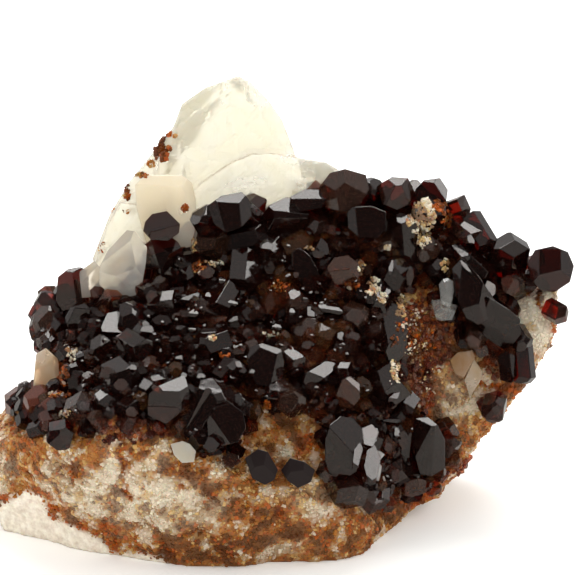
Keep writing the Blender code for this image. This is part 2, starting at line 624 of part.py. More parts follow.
def build():
    remove_everything()
    block = rock_block()
    surface = BVHTree.FromBMesh(block)
    rock_and_gap = swollen(block, GAP)
    rock_and_crust = swollen(block, CRUST_THICKNESS, simpler=CRUST_SIMPLER)

    pale = {name: slab(*values) for name, values in RHOMBS.items()}
    pale_grown = {name: slab(*values, grow=GAP) for name, values in RHOMBS.items()}
    small = {name: [rhomb(surface, values) for values in group]
             for name, group in SMALL_RHOMBS.items()}
    small_grown = {name: [rhomb(surface, values, grow=GAP) for values in group]
                   for name, group in SMALL_RHOMBS.items()}
    clear = uvite(surface, CLEAR, 4, pointed_twice=True)
    clear_grown = uvite(surface, CLEAR, 4, grow=GAP, pointed_twice=True)

    nearer = [rock_and_gap]
    for name, (node, colour) in PALE_CRYSTALS.items():
        hand_over(node, tidy(combine(pale[name], "DIFFERENCE", nearer)), colour, 0.25)
        nearer.append(pale_grown[name])
    spur = combine(pale["tall"], "UNION", [pale[name] for name in SPUR_PARTS])
    hand_over("magnesite_spur", tidy(combine(spur, "DIFFERENCE", nearer)), PALE, 0.3)
    for name, group in small.items():
        joined = combine(group[0], "UNION", group[1:]) if len(group) > 1 else group[0]
        trimmed = tidy(combine(joined, "DIFFERENCE", [rock_and_gap]))
        hand_over("magnesite_rhomb_" + name, trimmed, PALE, 0.25)
    trimmed = tidy(combine(clear, "DIFFERENCE", [rock_and_gap]))
    hand_over("clear_crystal", trimmed, (0.85, 0.87, 0.88), 0.05)

    keep_clear = list(pale_grown.values()) + [clear_grown, rock_and_gap]
    for group in small_grown.values():
        keep_clear += group
    for index, values in enumerate(LONE_UVITES.values()):
        keep_clear.append(uvite(surface, values, 300 + index, grow=GAP))
    druses = (("uvite_druse", DRUSE_OUTLINE, DRUSE_REACH, UVITES, 100),
              ("uvite_druse_ledge", LEDGE_OUTLINE, LEDGE_REACH, LEDGE_UVITES, 400))
    for name, outline, reach, table, seed in druses:
        crystals = [uvite(surface, values, seed + index) for index, values in enumerate(table)]
        coat = combine(rock_and_crust.copy(), "INTERSECT", [zone(outline, reach)])
        druse = combine(coat, "UNION", crystals)
        druse = tidy(combine(druse, "DIFFERENCE", keep_clear))
        hand_over(name, druse, DARK, 0.15)
    for index, (name, values) in enumerate(LONE_UVITES.items()):
        crystal = uvite(surface, values, 300 + index)
        hand_over(name, tidy(combine(crystal, "DIFFERENCE", [rock_and_gap])), DARK, 0.15)
    hand_over("magnesite_matrix", block, (0.55, 0.40, 0.25), 0.7)


build()
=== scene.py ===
"""Looks for a mineral specimen: glossy dark uvite crystals grown over granular magnesite.

Shapes are worked out in millimetres and scaled to metres as each piece is handed over.
A place on the display sheet is (right, down) from the sheet's top left corner and belongs to
whatever the line of sight through it meets. It is in millimetres, or in tenths of a millimetre
in the tables of crystals cut face by face.
"""

import math
import random

import bmesh
import bpy
import numpy as np
from mathutils import Matrix, Vector, noise
from mathutils.bvhtree import BVHTree


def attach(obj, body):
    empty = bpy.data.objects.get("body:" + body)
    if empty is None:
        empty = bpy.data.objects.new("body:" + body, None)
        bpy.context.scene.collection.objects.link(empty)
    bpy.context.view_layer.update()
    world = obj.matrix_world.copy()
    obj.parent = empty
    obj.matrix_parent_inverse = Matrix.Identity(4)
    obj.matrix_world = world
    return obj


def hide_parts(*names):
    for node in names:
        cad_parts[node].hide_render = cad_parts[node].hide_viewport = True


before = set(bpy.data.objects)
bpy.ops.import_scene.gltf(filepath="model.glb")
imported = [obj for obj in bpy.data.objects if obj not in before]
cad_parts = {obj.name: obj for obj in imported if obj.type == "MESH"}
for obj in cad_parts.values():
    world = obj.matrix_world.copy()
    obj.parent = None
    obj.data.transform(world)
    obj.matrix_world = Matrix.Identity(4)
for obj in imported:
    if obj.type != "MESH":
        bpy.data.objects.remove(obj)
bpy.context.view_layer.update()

METRES = 0.001
TENTHS = 10.0

# ---------------------------------------------------------------- the display view
DISPLAY_TILT = math.radians(20.0)
SHEET_SIDE = 57.5
SHEET_CENTRE = Vector((0.0, 6.0, 22.03))
EYE_DISTANCE = 400.0
RIGHT = Vector((1.0, 0.0, 0.0))
UP = Vector((0.0, math.sin(DISPLAY_TILT), math.cos(DISPLAY_TILT)))
TOWARDS = Vector((0.0, -math.cos(DISPLAY_TILT), math.sin(DISPLAY_TILT)))
EYE = SHEET_CENTRE + EYE_DISTANCE * TOWARDS


def srgb(red, green, blue):
    """A colour as a paint chart gives it, 0 to 255, in linear light."""
    def linear(value):
        value /= 255.0
        return value / 12.92 if value <= 0.04045 else ((value + 0.055) / 1.055) ** 2.4
    return (linear(red), linear(green), linear(blue))


def at_depth(right, down, depth):
    """The place at a depth that is seen at a place on the display sheet."""
    middle = SHEET_SIDE / 2
    place = SHEET_CENTRE + (right - middle) * RIGHT + (middle - down) * UP
    sight = place - EYE
    return EYE + sight * ((depth - EYE.y) / sight.y)


def sight_to(right, down):
    """The direction of the line of sight through a place on the sheet."""
    return (at_depth(right, down, 0.0) - EYE).normalized()


def met_by(skin, right, down):
    """Where the line of sight through a place on the sheet first meets a skin."""
    return skin.ray_cast(EYE, sight_to(right, down))[0]


def on_sheet(points):
    """Where points in space are seen on the display sheet, as an array of (right, down)."""
    away = points - np.array(EYE)
    reach = EYE_DISTANCE / -(away @ np.array(TOWARDS))
    right = (away @ np.array(RIGHT)) * reach + SHEET_SIDE / 2
    down = SHEET_SIDE / 2 - (away @ np.array(UP)) * reach
    return np.stack([right, down], axis=-1)


def inside_by(places, outline):
    """How far places on the sheet are inside an outline: positive in, negative out."""
    corners = np.array(outline, dtype=float)
    nearest = np.full(len(places), 1e9)
    within = np.zeros(len(places), dtype=bool)
    for start, end in zip(corners, np.roll(corners, -1, axis=0)):
        along = end - start
        share = np.clip(((places - start) @ along) / (along @ along), 0.0, 1.0)
        gap = np.linalg.norm(places - (start + share[:, None] * along), axis=1)
        nearest = np.minimum(nearest, gap)
        crosses = (start[1] > places[:, 1]) != (end[1] > places[:, 1])
        with np.errstate(divide="ignore", invalid="ignore"):
            meet = start[0] + (places[:, 1] - start[1]) * along[0] / along[1]
        within ^= crosses & (places[:, 0] < meet)
    return np.where(within, nearest, -nearest)


def ellipse(places, right, down, half_width, half_height):
    """1 in the middle of an ellipse on the sheet, 0 at its edge and outside."""
    reach = np.hypot((places[:, 0] - right) / half_width, (places[:, 1] - down) / half_height)
    return np.clip(1.6 * (1.0 - reach), 0.0, 1.0)


# ---------------------------------------------------------------- where the crust grows
DRUSE_OUTLINE = [
    (3.6, 31.5), (5.8, 28.0), (8.8, 30.0), (13.6, 29.4), (15.0, 23.4), (20.4, 21.6), (27.0, 21.0),
    (33.0, 19.6), (39.0, 19.2), (43.6, 19.8), (46.8, 22.0), (49.0, 25.0), (53.0, 26.4),
    (53.5, 28.6), (50.5, 30.5), (52.0, 35.5), (49.0, 35.2), (45.6, 34.0), (43.6, 29.5),
    (41.6, 27.0), (39.4, 31.0), (40.2, 35.6), (39.6, 38.6), (41.5, 41.6), (45.2, 43.5),
    (44.2, 47.6), (40.0, 49.8), (34.0, 49.6), (33.0, 46.0), (32.0, 42.0), (28.6, 40.6),
    (25.0, 41.6), (24.0, 44.4), (21.0, 45.6), (17.4, 43.2), (13.0, 42.6), (9.0, 43.6),
    (7.4, 42.6), (7.7, 40.6), (7.0, 39.0), (7.4, 36.4), (4.6, 34.6),
]
LEDGE_OUTLINE = [
    (0.6, 39.6), (2.2, 38.9), (4.4, 39.0), (6.2, 39.3), (7.2, 40.4), (6.4, 41.8), (5.6, 43.2),
    (4.2, 43.0), (3.0, 41.8), (1.0, 41.6),
]
DRUSE_REACH = 9.6
LEDGE_REACH = 1.5
CRUST_THICKNESS = 1.0

# Large uvites: (right, down) of the middle, width, length, heading and lean of the tip, spin,
# and the share of the width that stands out of the crust. None keeps the place of a crystal
# that stands behind the crest instead, in CREST_UVITES.
UVITES = [
    # along the crest, left to right
    None,
    (16.9, 25.2, 3.6, 4.4, 50, 52, 0, 0.50),
    None,
    None,
    (25.3, 20.6, 2.3, 2.6, 80, 60, 15, 0.30),
    None,
    (28.6, 21.7, 4.3, 4.4, 85, 40, 2, 0.50),
    (30.7, 19.9, 3.2, 3.4, 60, 62, 25, 0.40),
    (34.6, 18.8, 4.5, 4.4, 70, 56, 12, 0.42),
    None,
    (36.8, 19.2, 2.9, 3.0, 95, 50, 10, 0.35),
    (39.5, 19.9, 3.8, 4.0, 80, 40, 30, 0.40),
    (41.4, 19.6, 2.6, 3.4, 40, 60, 10, 0.30),
    (43.3, 19.5, 3.5, 3.5, 70, 55, 45, 0.36),
    (45.6, 20.8, 2.0, 2.8, 20, 60, 0, 0.35),
    # upper middle
    (21.0, 24.2, 3.7, 3.8, 285, 25, 14, 0.35),
    (25.1, 24.1, 3.1, 4.6, 10, 66, 10, 0.35),
    (28.6, 23.4, 2.0, 2.6, 260, 50, 25, 0.30),
    (31.6, 22.6, 2.3, 3.0, 330, 55, 5, 0.30),
    (37.0, 22.3, 4.3, 4.6, 350, 34, 8, 0.50),
    (38.5, 24.3, 2.0, 3.2, 10, 70, 30, 0.30),
    (40.5, 23.7, 3.0, 5.2, 95, 72, 20, 0.45),
    (42.6, 25.1, 2.4, 2.6, 300, 40, 50, 0.40),
    (32.2, 25.2, 2.2, 2.6, 40, 50, 30, 0.25),
    (26.8, 25.6, 3.4, 3.6, 230, 48, 6, 0.25),
    (30.6, 26.9, 2.4, 4.6, 118, 68, 22, 0.40),
    (34.5, 27.3, 3.4, 3.4, 75, 40, 18, 0.45),
    (39.4, 27.4, 3.2, 3.6, 200, 40, 12, 0.35),
    (43.6, 27.0, 2.2, 2.4, 130, 42, 30, 0.35),
    (24.4, 27.6, 3.3, 4.4, 265, 60, 18, 0.25),
    (20.6, 27.2, 2.3, 2.6, 330, 40, 34, 0.35),
    (18.8, 27.6, 2.0, 2.2, 120, 44, 12, 0.25),
    # right shoulder
    (46.6, 23.2, 2.2, 3.6, 320, 62, 12, 0.40),
    (48.0, 23.4, 2.2, 4.2, 300, 68, 40, 0.45),
    (46.4, 25.6, 1.9, 2.4, 310, 55, 20, 0.35),
    (47.6, 26.6, 2.2, 4.8, 315, 70, 5, 0.40),
    (47.4, 29.6, 4.3, 5.6, 300, 62, 24, 0.40),
    (50.9, 25.4, 3.5, 3.7, 80, 52, 14, 0.50),
    (54.9, 27.0, 4.3, 4.3, 335, 34, 22, 0.60),
    (51.3, 28.3, 2.4, 2.6, 100, 40, 40, 0.35),
    (49.1, 28.9, 2.0, 2.4, 30, 50, 10, 0.35),
    (50.2, 32.0, 3.1, 7.0, 305, 74, 16, 0.50),
    (47.5, 33.8, 2.0, 2.2, 280, 30, 0, 0.40),
    (52.0, 34.0, 2.0, 2.6, 300, 60, 30, 0.35),
    (52.4, 36.5, 2.0, 4.0, 275, 74, 10, 0.50),
    # left shoulder
    (7.4, 28.9, 3.3, 4.6, 98, 66, 24, 0.50),
    (4.8, 32.1, 2.9, 3.0, 160, 38, 10, 0.45),
    (5.0, 34.0, 2.2, 2.6, 230, 50, 32, 0.40),
    (7.8, 31.7, 3.0, 3.0, 20, 12, 6, 0.40),
    (11.2, 32.5, 2.5, 2.8, 300, 34, 34, 0.45),
    (13.2, 31.9, 3.1, 3.2, 60, 24, 16, 0.40),
    (11.4, 30.0, 2.3, 3.4, 60, 62, 0, 0.30),
    (16.4, 31.0, 2.6, 4.2, 105, 64, 20, 0.35),
    # middle of the slope
    (22.0, 30.4, 3.0, 3.8, 240, 52, 20, 0.20),
    (29.8, 30.3, 2.4, 2.6, 60, 40, 12, 0.30),
    (35.8, 31.6, 2.2, 2.4, 340, 60, 8, 0.35),
    (30.8, 33.0, 2.2, 2.6, 20, 44, 22, 0.25),
    (37.8, 30.2, 2.2, 3.0, 240, 50, 36, 0.25),
    (39.2, 33.0, 2.7, 5.8, 98, 78, 25, 0.50),
    (40.4, 34.6, 2.0, 2.8, 60, 60, 10, 0.35),
    (35.0, 34.2, 1.8, 2.6, 80, 60, 20, 0.30),
    (21.0, 34.6, 2.8, 3.4, 200, 60, 0, 0.20),
    (14.0, 35.0, 3.2, 3.6, 330, 50, 32, 0.20),
    (26.6, 35.8, 3.4, 3.6, 95, 50, 0, 0.40),
    (29.6, 36.2, 2.0, 2.4, 320, 55, 14, 0.25),
    (32.0, 37.0, 2.0, 4.0, 35, 70, 8, 0.35),
    (34.4, 38.2, 2.0, 4.4, 100, 70, 35, 0.35),
    (35.0, 39.4, 3.0, 3.6, 62, 52, 25, 0.50),
    (38.6, 38.6, 4.1, 4.3, 20, 46, 10, 0.50),
    (23.5, 37.4, 2.0, 3.0, 70, 56, 18, 0.40),
    (27.7, 39.4, 2.3, 3.0, 95, 60, 4, 0.40),
    (29.0, 40.2, 2.6, 2.6, 310, 34, 20, 0.35),
    (24.0, 40.6, 2.2, 2.6, 150, 50, 40, 0.20),
    (17.0, 39.6, 4.0, 4.8, 97, 58, 2, 0.60),
    (20.8, 40.8, 4.0, 6.0, 60, 72, 0, 0.30),
    (12.2, 38.0, 3.4, 3.6, 320, 36, 18, 0.30),
    (10.4, 40.4, 2.3, 2.6, 60, 50, 10, 0.25),
    (13.1, 41.0, 2.0, 2.2, 340, 40, 22, 0.30),
    (8.4, 40.8, 2.6, 2.8, 30, 48, 38, 0.35),
    (6.0, 43.6, 2.4, 2.4, 280, 26, 12, 0.35),
    (22.6, 43.0, 4.2, 4.6, 300, 40, 24, 0.40),
    (21.1, 44.2, 1.8, 2.0, 200, 45, 6, 0.30),
    # the nose, low on the right
    (34.4, 44.4, 3.7, 5.8, 88, 72, 28, 0.60),
    (33.0, 47.0, 2.0, 2.8, 200, 60, 10, 0.30),
    (34.8, 49.0, 3.2, 3.4, 300, 44, 16, 0.45),
    (37.0, 44.6, 2.0, 4.0, 70, 66, 12, 0.45),
    (36.8, 46.8, 2.2, 3.2, 80, 62, 40, 0.45),
    (37.7, 49.4, 2.3, 3.0, 265, 56, 0, 0.40),
    (39.4, 47.0, 2.4, 2.6, 350, 44, 14, 0.40),
    (40.4, 44.4, 2.0, 3.8, 85, 70, 30, 0.40),
    (38.9, 43.4, 1.8, 2.6, 60, 60, 8, 0.30),
    (42.9, 44.9, 3.3, 6.8, 92, 76, 12, 0.60),
    (41.3, 48.3, 2.3, 2.5, 300, 40, 26, 0.40),
    (45.0, 44.3, 1.9, 2.3, 60, 48, 10, 0.40),
    (44.6, 42.9, 1.8, 2.2, 120, 46, 35, 0.30),
]
LEDGE_UVITES = [
    (2.2, 40.4, 3.0, 3.4, 150, 56, 10, 0.40),
    (4.0, 40.2, 2.9, 3.2, 80, 50, 32, 0.40),
    (5.6, 40.4, 2.2, 2.6, 40, 56, 5, 0.35),
    (4.9, 42.2, 1.7, 1.9, 300, 40, 20, 0.30),
]
LONE_UVITES = {
    "uvite_crystal_front_left": (26.1, 46.5, 3.4, 3.7, 280, 30, 12, 0.30),
    "uvite_crystal_front_right": (30.2, 47.4, 3.2, 3.5, 300, 34, 30, 0.30),
    "uvite_crystal_flank_lower": (49.4, 40.9, 2.4, 2.6, 250, 40, 25, 0.40),
    "uvite_crystal_tip": (55.7, 31.2, 1.9, 2.4, 330, 50, 8, 0.45),
}
CREST_UVITES = [  # depth, right, down, width, length, heading, lean, spin
    (4.6, 43.0, 20.9, 3.2, 2.6, 80, 50, 10),
    (3.4, 16.3, 22.3, 3.4, 3.6, 70, 36, 20),
    (4.4, 20.6, 22.0, 2.9, 3.0, 120, 55, 40),
    (4.2, 22.9, 21.0, 4.2, 4.2, 75, 46, 0),
    (5.4, 25.3, 21.8, 2.0, 3.6, 140, 60, 5),
    (6.0, 33.3, 19.7, 2.4, 2.6, 110, 45, 40),
]

# Crystals cut face by face: outline, then faces as (right, down, height in millimetres, fall to
# the right, fall upwards), by their place in the tables above
CUT_UVITES = {
    73: ([(168, 374), (185, 376), (191, 397), (182, 410), (166, 423), (148, 414), (149, 390),
          (156, 387)],
         [(167, 391, 1.6, 0.1, 1.07), (167, 391, 1.6, 0.05, -0.30), (181, 396, 1.5, 0.9, -0.2)]),
    49: ([(101, 327), (107, 313), (117, 311), (124, 326), (123, 336), (112, 341), (104, 339)],
         [(112, 322, 0.8, 0.1, 1.07), (111, 334, 2.0, 0.0, -1.2)]),
    48: ([(65, 318), (71, 307), (85, 303), (94, 314), (90, 328), (78, 332), (68, 328)],
         [(79, 318, 1.2, 0.0, -0.30), (69, 320, 1.2, -1.2, 0.3), (80, 308, 1.1, 0.1, 0.8)]),
    45: ([(58, 277), (68, 269), (80, 267), (89, 271), (89, 300), (80, 308), (62, 311),
          (56, 300)],
         [(75, 290, 1.4, -0.25, -0.22), (75, 290, 1.4, 0.6, -0.1), (72, 274, 1.3, 0.0, 1.07)]),
    1: ([(143, 246), (155, 236), (166, 233), (178, 242), (186, 256), (185, 266), (174, 274),
         (158, 273), (146, 262)],
        [(168, 253, 1.8, 0.20, 0.48), (168, 253, 1.8, -0.15, 0.05), (152, 262, 1.5, -0.9, -0.2),
         (180, 262, 1.3, 0.6, -0.3)]),
    6: ([(261, 216), (270, 205), (286, 197), (301, 200), (309, 213), (306, 228), (294, 240),
         (276, 240), (264, 230)],
        [(285, 207, 1.4, 0.1, 1.0), (285, 214, 2.1, 0.0, 0.05), (284, 226, 2.1, 0.0, -0.6),
         (268, 222, 1.8, -0.9, -0.1)]),
    7: ([(290, 197), (305, 189), (322, 190), (327, 198), (322, 208), (300, 212)],
        [(307, 196, 1.0, 0.0, 0.9), (307, 201, 1.45, 0.0, 0.15)]),
    8: ([(319, 187), (330, 173), (345, 169), (366, 175), (369, 190), (360, 205), (345, 212),
         (326, 208)],
        [(345, 184, 2.0, -0.45, 0.45), (345, 184, 2.0, 0.35, 0.52), (345, 196, 2.2, 0.0, -0.12),
         (330, 198, 1.7, -0.9, -0.3)]),
    11: ([(378, 185), (392, 177), (408, 178), (414, 190), (411, 203), (397, 210), (382, 204)],
         [(395, 185, 1.6, 0.0, 0.95), (386, 196, 1.5, -0.7, 0.1), (397, 196, 1.75, 0.05, -0.3),
          (409, 195, 1.35, 1.0, 0.1)]),
    13: ([(415, 190), (424, 180), (440, 178), (448, 190), (446, 203), (430, 207), (418, 202)],
         [(431, 192, 1.6, 0.0, -0.05), (432, 184, 1.5, 0.1, 0.95), (443, 192, 1.35, 0.9, 0.55)]),
    19: ([(347, 213), (352, 207), (372, 206), (386, 212), (386, 228), (378, 238), (360, 238),
          (348, 228)],
         [(355, 222, 1.85, -0.95, 0.0), (370, 222, 2.0, 0.0, 0.1), (366, 211, 1.9, 0.0, 0.6)]),
    25: ([(292, 252), (300, 247), (310, 256), (320, 275), (319, 286), (309, 290), (298, 280),
          (292, 266)],
         [(306, 270, 1.3, 0.15, -0.12), (306, 254, 1.2, 0.5, 0.95)]),
    26: ([(327, 268), (334, 258), (348, 255), (359, 264), (360, 276), (350, 285), (335, 285)],
         [(343, 268, 1.6, -0.1, 0.45), (355, 270, 1.35, 0.9, 0.2), (343, 277, 1.6, 0.0, -0.6)]),
    58: ([(379, 306), (388, 302), (404, 306), (408, 330), (407, 352), (398, 362), (386, 360),
          (382, 335)],
         [(391, 337, 1.5, 0.12, 0.74), (386, 337, 1.4, -1.1, 0.5), (399, 337, 1.3, 0.9, -0.3),
          (391, 356, 2.4, 0.0, -0.6)]),
    63: ([(247, 357), (250, 347), (262, 343), (281, 349), (284, 360), (284, 378), (272, 387),
          (256, 385), (249, 370)],
         [(261, 356, 1.9, -0.5, 0.62), (264, 356, 1.9, 0.3, 0.85), (265, 368, 1.95, 0.0, 0.1),
          (279, 368, 1.55, 0.9, -0.1)]),
    65: ([(303, 382), (306, 373), (325, 361), (335, 362), (336, 369), (318, 383), (308, 388)],
         [(318, 373, 1.0, 0.25, 0.85), (318, 378, 1.3, -0.2, -0.25)]),
    67: ([(336, 395), (342, 380), (350, 376), (360, 384), (360, 398), (352, 409), (340, 407)],
         [(348, 393, 1.4, -0.05, -0.35), (354, 385, 1.3, 0.8, 0.58)]),
    80: ([(207, 420), (215, 407), (230, 403), (243, 412), (246, 428), (238, 442), (222, 446),
          (208, 438)],
         [(227, 425, 1.9, 0.0, 0.1), (213, 430, 1.6, -0.7, -0.4), (229, 408, 1.6, 0.0, 0.8)]),
    82: ([(325, 440), (330, 425), (341, 416), (353, 418), (362, 428), (363, 450), (356, 472),
          (345, 479), (330, 476), (325, 460)],
         [(343, 440, 1.8, 0.0, -0.33), (346, 426, 1.75, 0.05, 0.6), (356, 452, 1.55, 0.8, 0.4),
          (343, 466, 2.4, -0.1, -1.0)]),
    91: ([(413, 424), (416, 418), (428, 417), (437, 424), (445, 440), (445, 468), (432, 476),
          (420, 474), (413, 450)],
         [(422, 426, 1.9, 0.0, 1.05), (427, 445, 2.0, 0.05, -0.33), (418, 445, 1.85, -0.5, -0.05),
          (438, 445, 1.6, 0.9, -0.4)]),
    36: ([(452, 268), (462, 258), (478, 275), (495, 300), (492, 318), (478, 325), (466, 318),
          (455, 295)],
         [(472, 292, 2.2, -0.15, 0.12), (484, 288, 2.0, 0.9, -0.1), (459, 290, 1.9, -1.0, 0.2)]),
    41: ([(470, 297), (480, 292), (510, 310), (520, 319), (521, 334), (512, 346), (503, 349),
          (483, 336), (474, 318)],
         [(503, 322, 1.6, 0.05, -0.30), (482, 318, 1.7, -0.7, 0.0), (499, 340, 1.2, -0.3, -0.9)]),
    38: ([(528, 262), (535, 250), (553, 246), (568, 252), (574, 266), (570, 282), (555, 292),
          (540, 290), (530, 278)],
         [(550, 268, 2.2, 0.0, 0.1), (550, 256, 2.05, 0.0, 0.65), (563, 268, 2.0, 0.95, 0.1),
          (537, 268, 2.0, -0.9, 0.1), (553, 281, 2.0, 0.2, -0.8)]),
}
CUT_CREST = {
    1: ([(145, 222), (152, 214), (167, 211), (180, 224), (179, 233), (168, 241), (151, 240),
         (143, 231)],
        [(163, 229, 1.4, -0.1, 0.42), (163, 229, 1.4, 0.1, -0.35), (150, 227, 1.2, -0.9, 0.0)]),
    3: ([(207, 206), (221, 196), (242, 192), (249, 199), (252, 216), (241, 228), (226, 233),
         (214, 224)],
        [(230, 206, 1.9, 0.0, 0.95), (216, 214, 1.6, -0.8, -0.1), (230, 212, 1.9, -0.05, 0.1),
         (243, 212, 1.7, 0.9, 0.2)]),
}
CUT_LONE = {
    "uvite_crystal_front_left": (
        [(245, 458), (258, 449), (268, 452), (278, 470), (274, 480), (265, 485), (252, 478)],
        [(261, 462, 1.6, -0.1, 0.15), (262, 477, 1.5, 0.1, -0.6), (273, 468, 1.3, 0.7, 0.0),
         (250, 465, 1.4, -0.8, -0.1)]),
    "uvite_crystal_front_right": (
        [(281, 470), (290, 458), (305, 462), (315, 470), (311, 482), (298, 488), (288, 481)],
        [(297, 470, 1.5, 0.0, 0.1), (300, 481, 1.3, 0.1, -0.6), (309, 473, 1.2, 0.8, 0.0),
         (286, 470, 1.2, -0.8, 0.0)]),
}
PLATES = [  # place of the crystal they lean on, outline, faces
    (73, [(148, 406), (155, 405), (175, 407), (182, 411), (166, 424), (148, 415)],
     [(160, 406.4, 1.75, 0.1, 1.07), (160, 407.0, 1.80, 0.05, -0.30)]),
    (74, [(186, 428), (205, 389), (210, 388), (212, 391), (192, 431)],
     [(199, 410, 1.5, -0.1, -0.35)]),
    (80, [(203, 446), (206, 436), (218, 438), (222, 447), (212, 453)],
     [(212, 443, 1.4, 0.1, 1.0), (212, 449, 2.0, 0.0, -0.8)]),
    (82, [(352, 470), (354, 450), (360, 442), (363, 448), (358, 468)],
     [(358, 457, 2.0, 0.8, 0.58)]),
]
STANDING_OUT = [  # outline, faces, tint
    ([(487, 280), (495, 284), (497, 292), (491, 298), (483, 291)], [(490, 289, 0.9, 0.55, 0.60)],
     "brown"),
    ([(499, 289), (504, 290), (507, 299), (504, 304), (499, 300), (497, 295)],
     [(502, 297, 0.9, 0.6, 0.6)], "brown"),
    ([(501, 279), (508, 275), (519, 280), (520, 290), (512, 296), (503, 292)],
     [(508, 284, 0.9, -0.2, 0.2), (515, 288, 0.8, 0.5, -0.2)], "red"),
    ([(466, 338), (472, 335), (481, 341), (479, 347), (470, 347)], [(473, 341, 0.8, 0.0, -0.33)],
     "brown"),
    ([(475, 347), (487, 345), (489, 355), (481, 358), (476, 355)], [(481, 350, 0.8, 0.1, -0.3)],
     "brown"),
    ([(498, 356), (506, 351), (516, 356), (519, 372), (512, 383), (500, 380)],
     [(508, 366, 1.2, -0.2, 0.1), (514, 366, 1.0, 0.8, 0.2), (502, 372, 1.0, -0.7, -0.4)],
     "black"),
    ([(476, 402), (482, 397), (494, 398), (500, 404), (492, 413), (480, 411)],
     [(488, 404, 1.0, 0.0, 0.1), (482, 408, 0.9, -0.5, -0.5)], "brown"),
    ([(362, 428), (372, 424), (379, 432), (373, 447), (364, 444)], [(370, 435, 1.5, 0.10, 0.95)],
     "black"),
    ([(367, 450), (375, 444), (381, 458), (377, 478), (368, 482), (364, 466)],
     [(372, 452, 1.8, 0.10, 0.88), (376, 466, 1.4, 0.8, 0.5)], "black"),
    ([(222, 458), (228, 452), (238, 455), (241, 462), (233, 467), (225, 466)],
     [(231, 457, 0.7, 0.0, 0.1)], "brown"),
    ([(203, 447), (208, 436), (214, 438), (220, 444), (216, 449), (207, 450)],
     [(211, 443, 0.9, 0.2, 0.55)], "black"),
]
# Small crystals that catch the light: middle, half width and height, turn, face
FLASHES = [
    (179, 233, 4, 5, 20, "bright"), (194, 313, 6, 4, 30, "bright"), (189, 299, 13, 4, 22, "light"),
    (208, 296, 3, 4, 0, "bright"), (147, 330, 7, 5, 10, "light"), (165, 342, 4, 7, -10, "grey"),
    (133, 368, 4, 4, 0, "light"), (124, 354, 2, 2, 0, "bright"), (180, 358, 5, 3, 15, "light"),
    (192, 329, 4, 3, 0, "bright"), (207, 273, 8, 6, 15, "grey"), (222, 280, 4, 4, 30, "bright"),
    (243, 290, 3, 4, 0, "bright"), (233, 303, 5, 3, -15, "bright"), (263, 318, 9, 3, 48, "light"),
    (277, 327, 5, 3, -20, "bright"), (286, 325, 4, 2, 20, "light"), (292, 312, 3, 4, 10, "bright"),
    (311, 313, 4, 7, 20, "light"), (306, 298, 3, 4, -30, "bright"), (331, 309, 13, 5, -12, "bright"),
    (355, 316, 9, 7, -5, "grey"), (267, 247, 6, 5, 20, "light"), (309, 231, 2.5, 4, 20, "bright"),
    (338, 231, 3, 4, 10, "bright"), (342, 337, 4, 6, 30, "light"), (372, 363, 2, 6, 20, "light"),
    (234, 377, 4, 6, 10, "bright"), (85, 407, 9, 6, -20, "light"), (66, 412, 2.5, 3, 0, "bright"),
    (77, 411, 3, 3, 0, "bright"), (132, 412, 6, 5, 0, "grey"), (190, 432, 2, 2.5, 0, "bright"),
    (165, 427, 1.5, 2.5, 0, "bright"), (272, 397, 7, 2.5, -6, "bright"), (275, 388, 6, 5, 0, "light"),
    (328, 401, 4, 4, 30, "light"), (352, 412, 9, 1.5, -4, "light"), (364, 414, 1.5, 4, -30, "bright"),
    (394, 397, 7, 3, 35, "light"), (317, 420, 2, 4, 20, "bright"), (392, 421, 9, 2.5, 0, "light"),
    (397, 433, 3, 6, 10, "light"), (157, 389, 3, 6, 60, "grey"),
    (126, 300, 8, 3, 10, "grey"), (102, 303, 8, 4, 25, "grey"), (152, 297, 6, 7, 0, "grey"),
    (173, 318, 9, 3, 35, "grey"), (296, 275, 3, 3, 0, "grey"), (318, 254, 6, 4, -10, "grey"),
    (391, 268, 2.5, 8, -10, "light"), (369, 240, 8, 2.5, 20, "light"), (352, 246, 7, 2, 25, "grey"),
    (471, 240, 3, 6, 20, "light"), (466, 267, 2, 9, 40, "light"), (489, 290, 6, 6, 30, "light"),
    (501, 297, 5, 6, 10, "light"), (427, 243, 8, 7, 10, "grey"), (410, 277, 4, 9, -5, "grey"),
    (252, 372, 3, 3, 0, "light"), (300, 331, 6, 5, 0, "grey"), (307, 345, 6, 4, 15, "grey"),
    (403, 440, 5, 9, 5, "grey"), (388, 447, 4, 5, 0, "grey"), (371, 497, 5, 7, 10, "grey"),
    (239, 365, 3, 5, 30, "light"), (121, 385, 7, 6, 0, "grey"), (107, 373, 8, 6, 20, "grey"),
]
FLASH_FALLS = {"bright": (0.10, 1.05), "light": (0.75, 0.55), "grey": (0.0, -0.33)}
SPARKS = 190
SPARK_FACES = ("bright", "bright", "light", "light", "grey")
BEHIND_FACES = 2.8  # how far a cut crystal reaches towards the viewer before its faces cut it

# Clear colours of the crystals; the thickness of each does the rest
BLACK = (0.20, 0.06, 0.04)
DEEP_BROWN = (0.46, 0.17, 0.11)
BROWN = (0.72, 0.32, 0.19)
RED_BROWN = (0.92, 0.28, 0.11)
AMBER = (1.0, 0.42, 0.14)
DUSTY = (0.016, 0.010, 0.010)
LEDGE_TONES = [(0.25, 0.055, 0.025)] * 3 + [(0.14, 0.035, 0.02)]
TONES = {  # of crystals by their place in the table of the druse
    BLACK: (1, 6, 7, 10, 13, 19, 21, 25, 27, 28, 36, 37, 38, 41, 44, 48, 49, 50, 52, 58, 62, 63,
            68, 73, 74, 75, 80, 82, 89, 91),
    DEEP_BROWN: (11, 45, 84, 87),
    BROWN: (8, 20, 39, 46, 55, 93),
    RED_BROWN: (26, 92, 94),
}

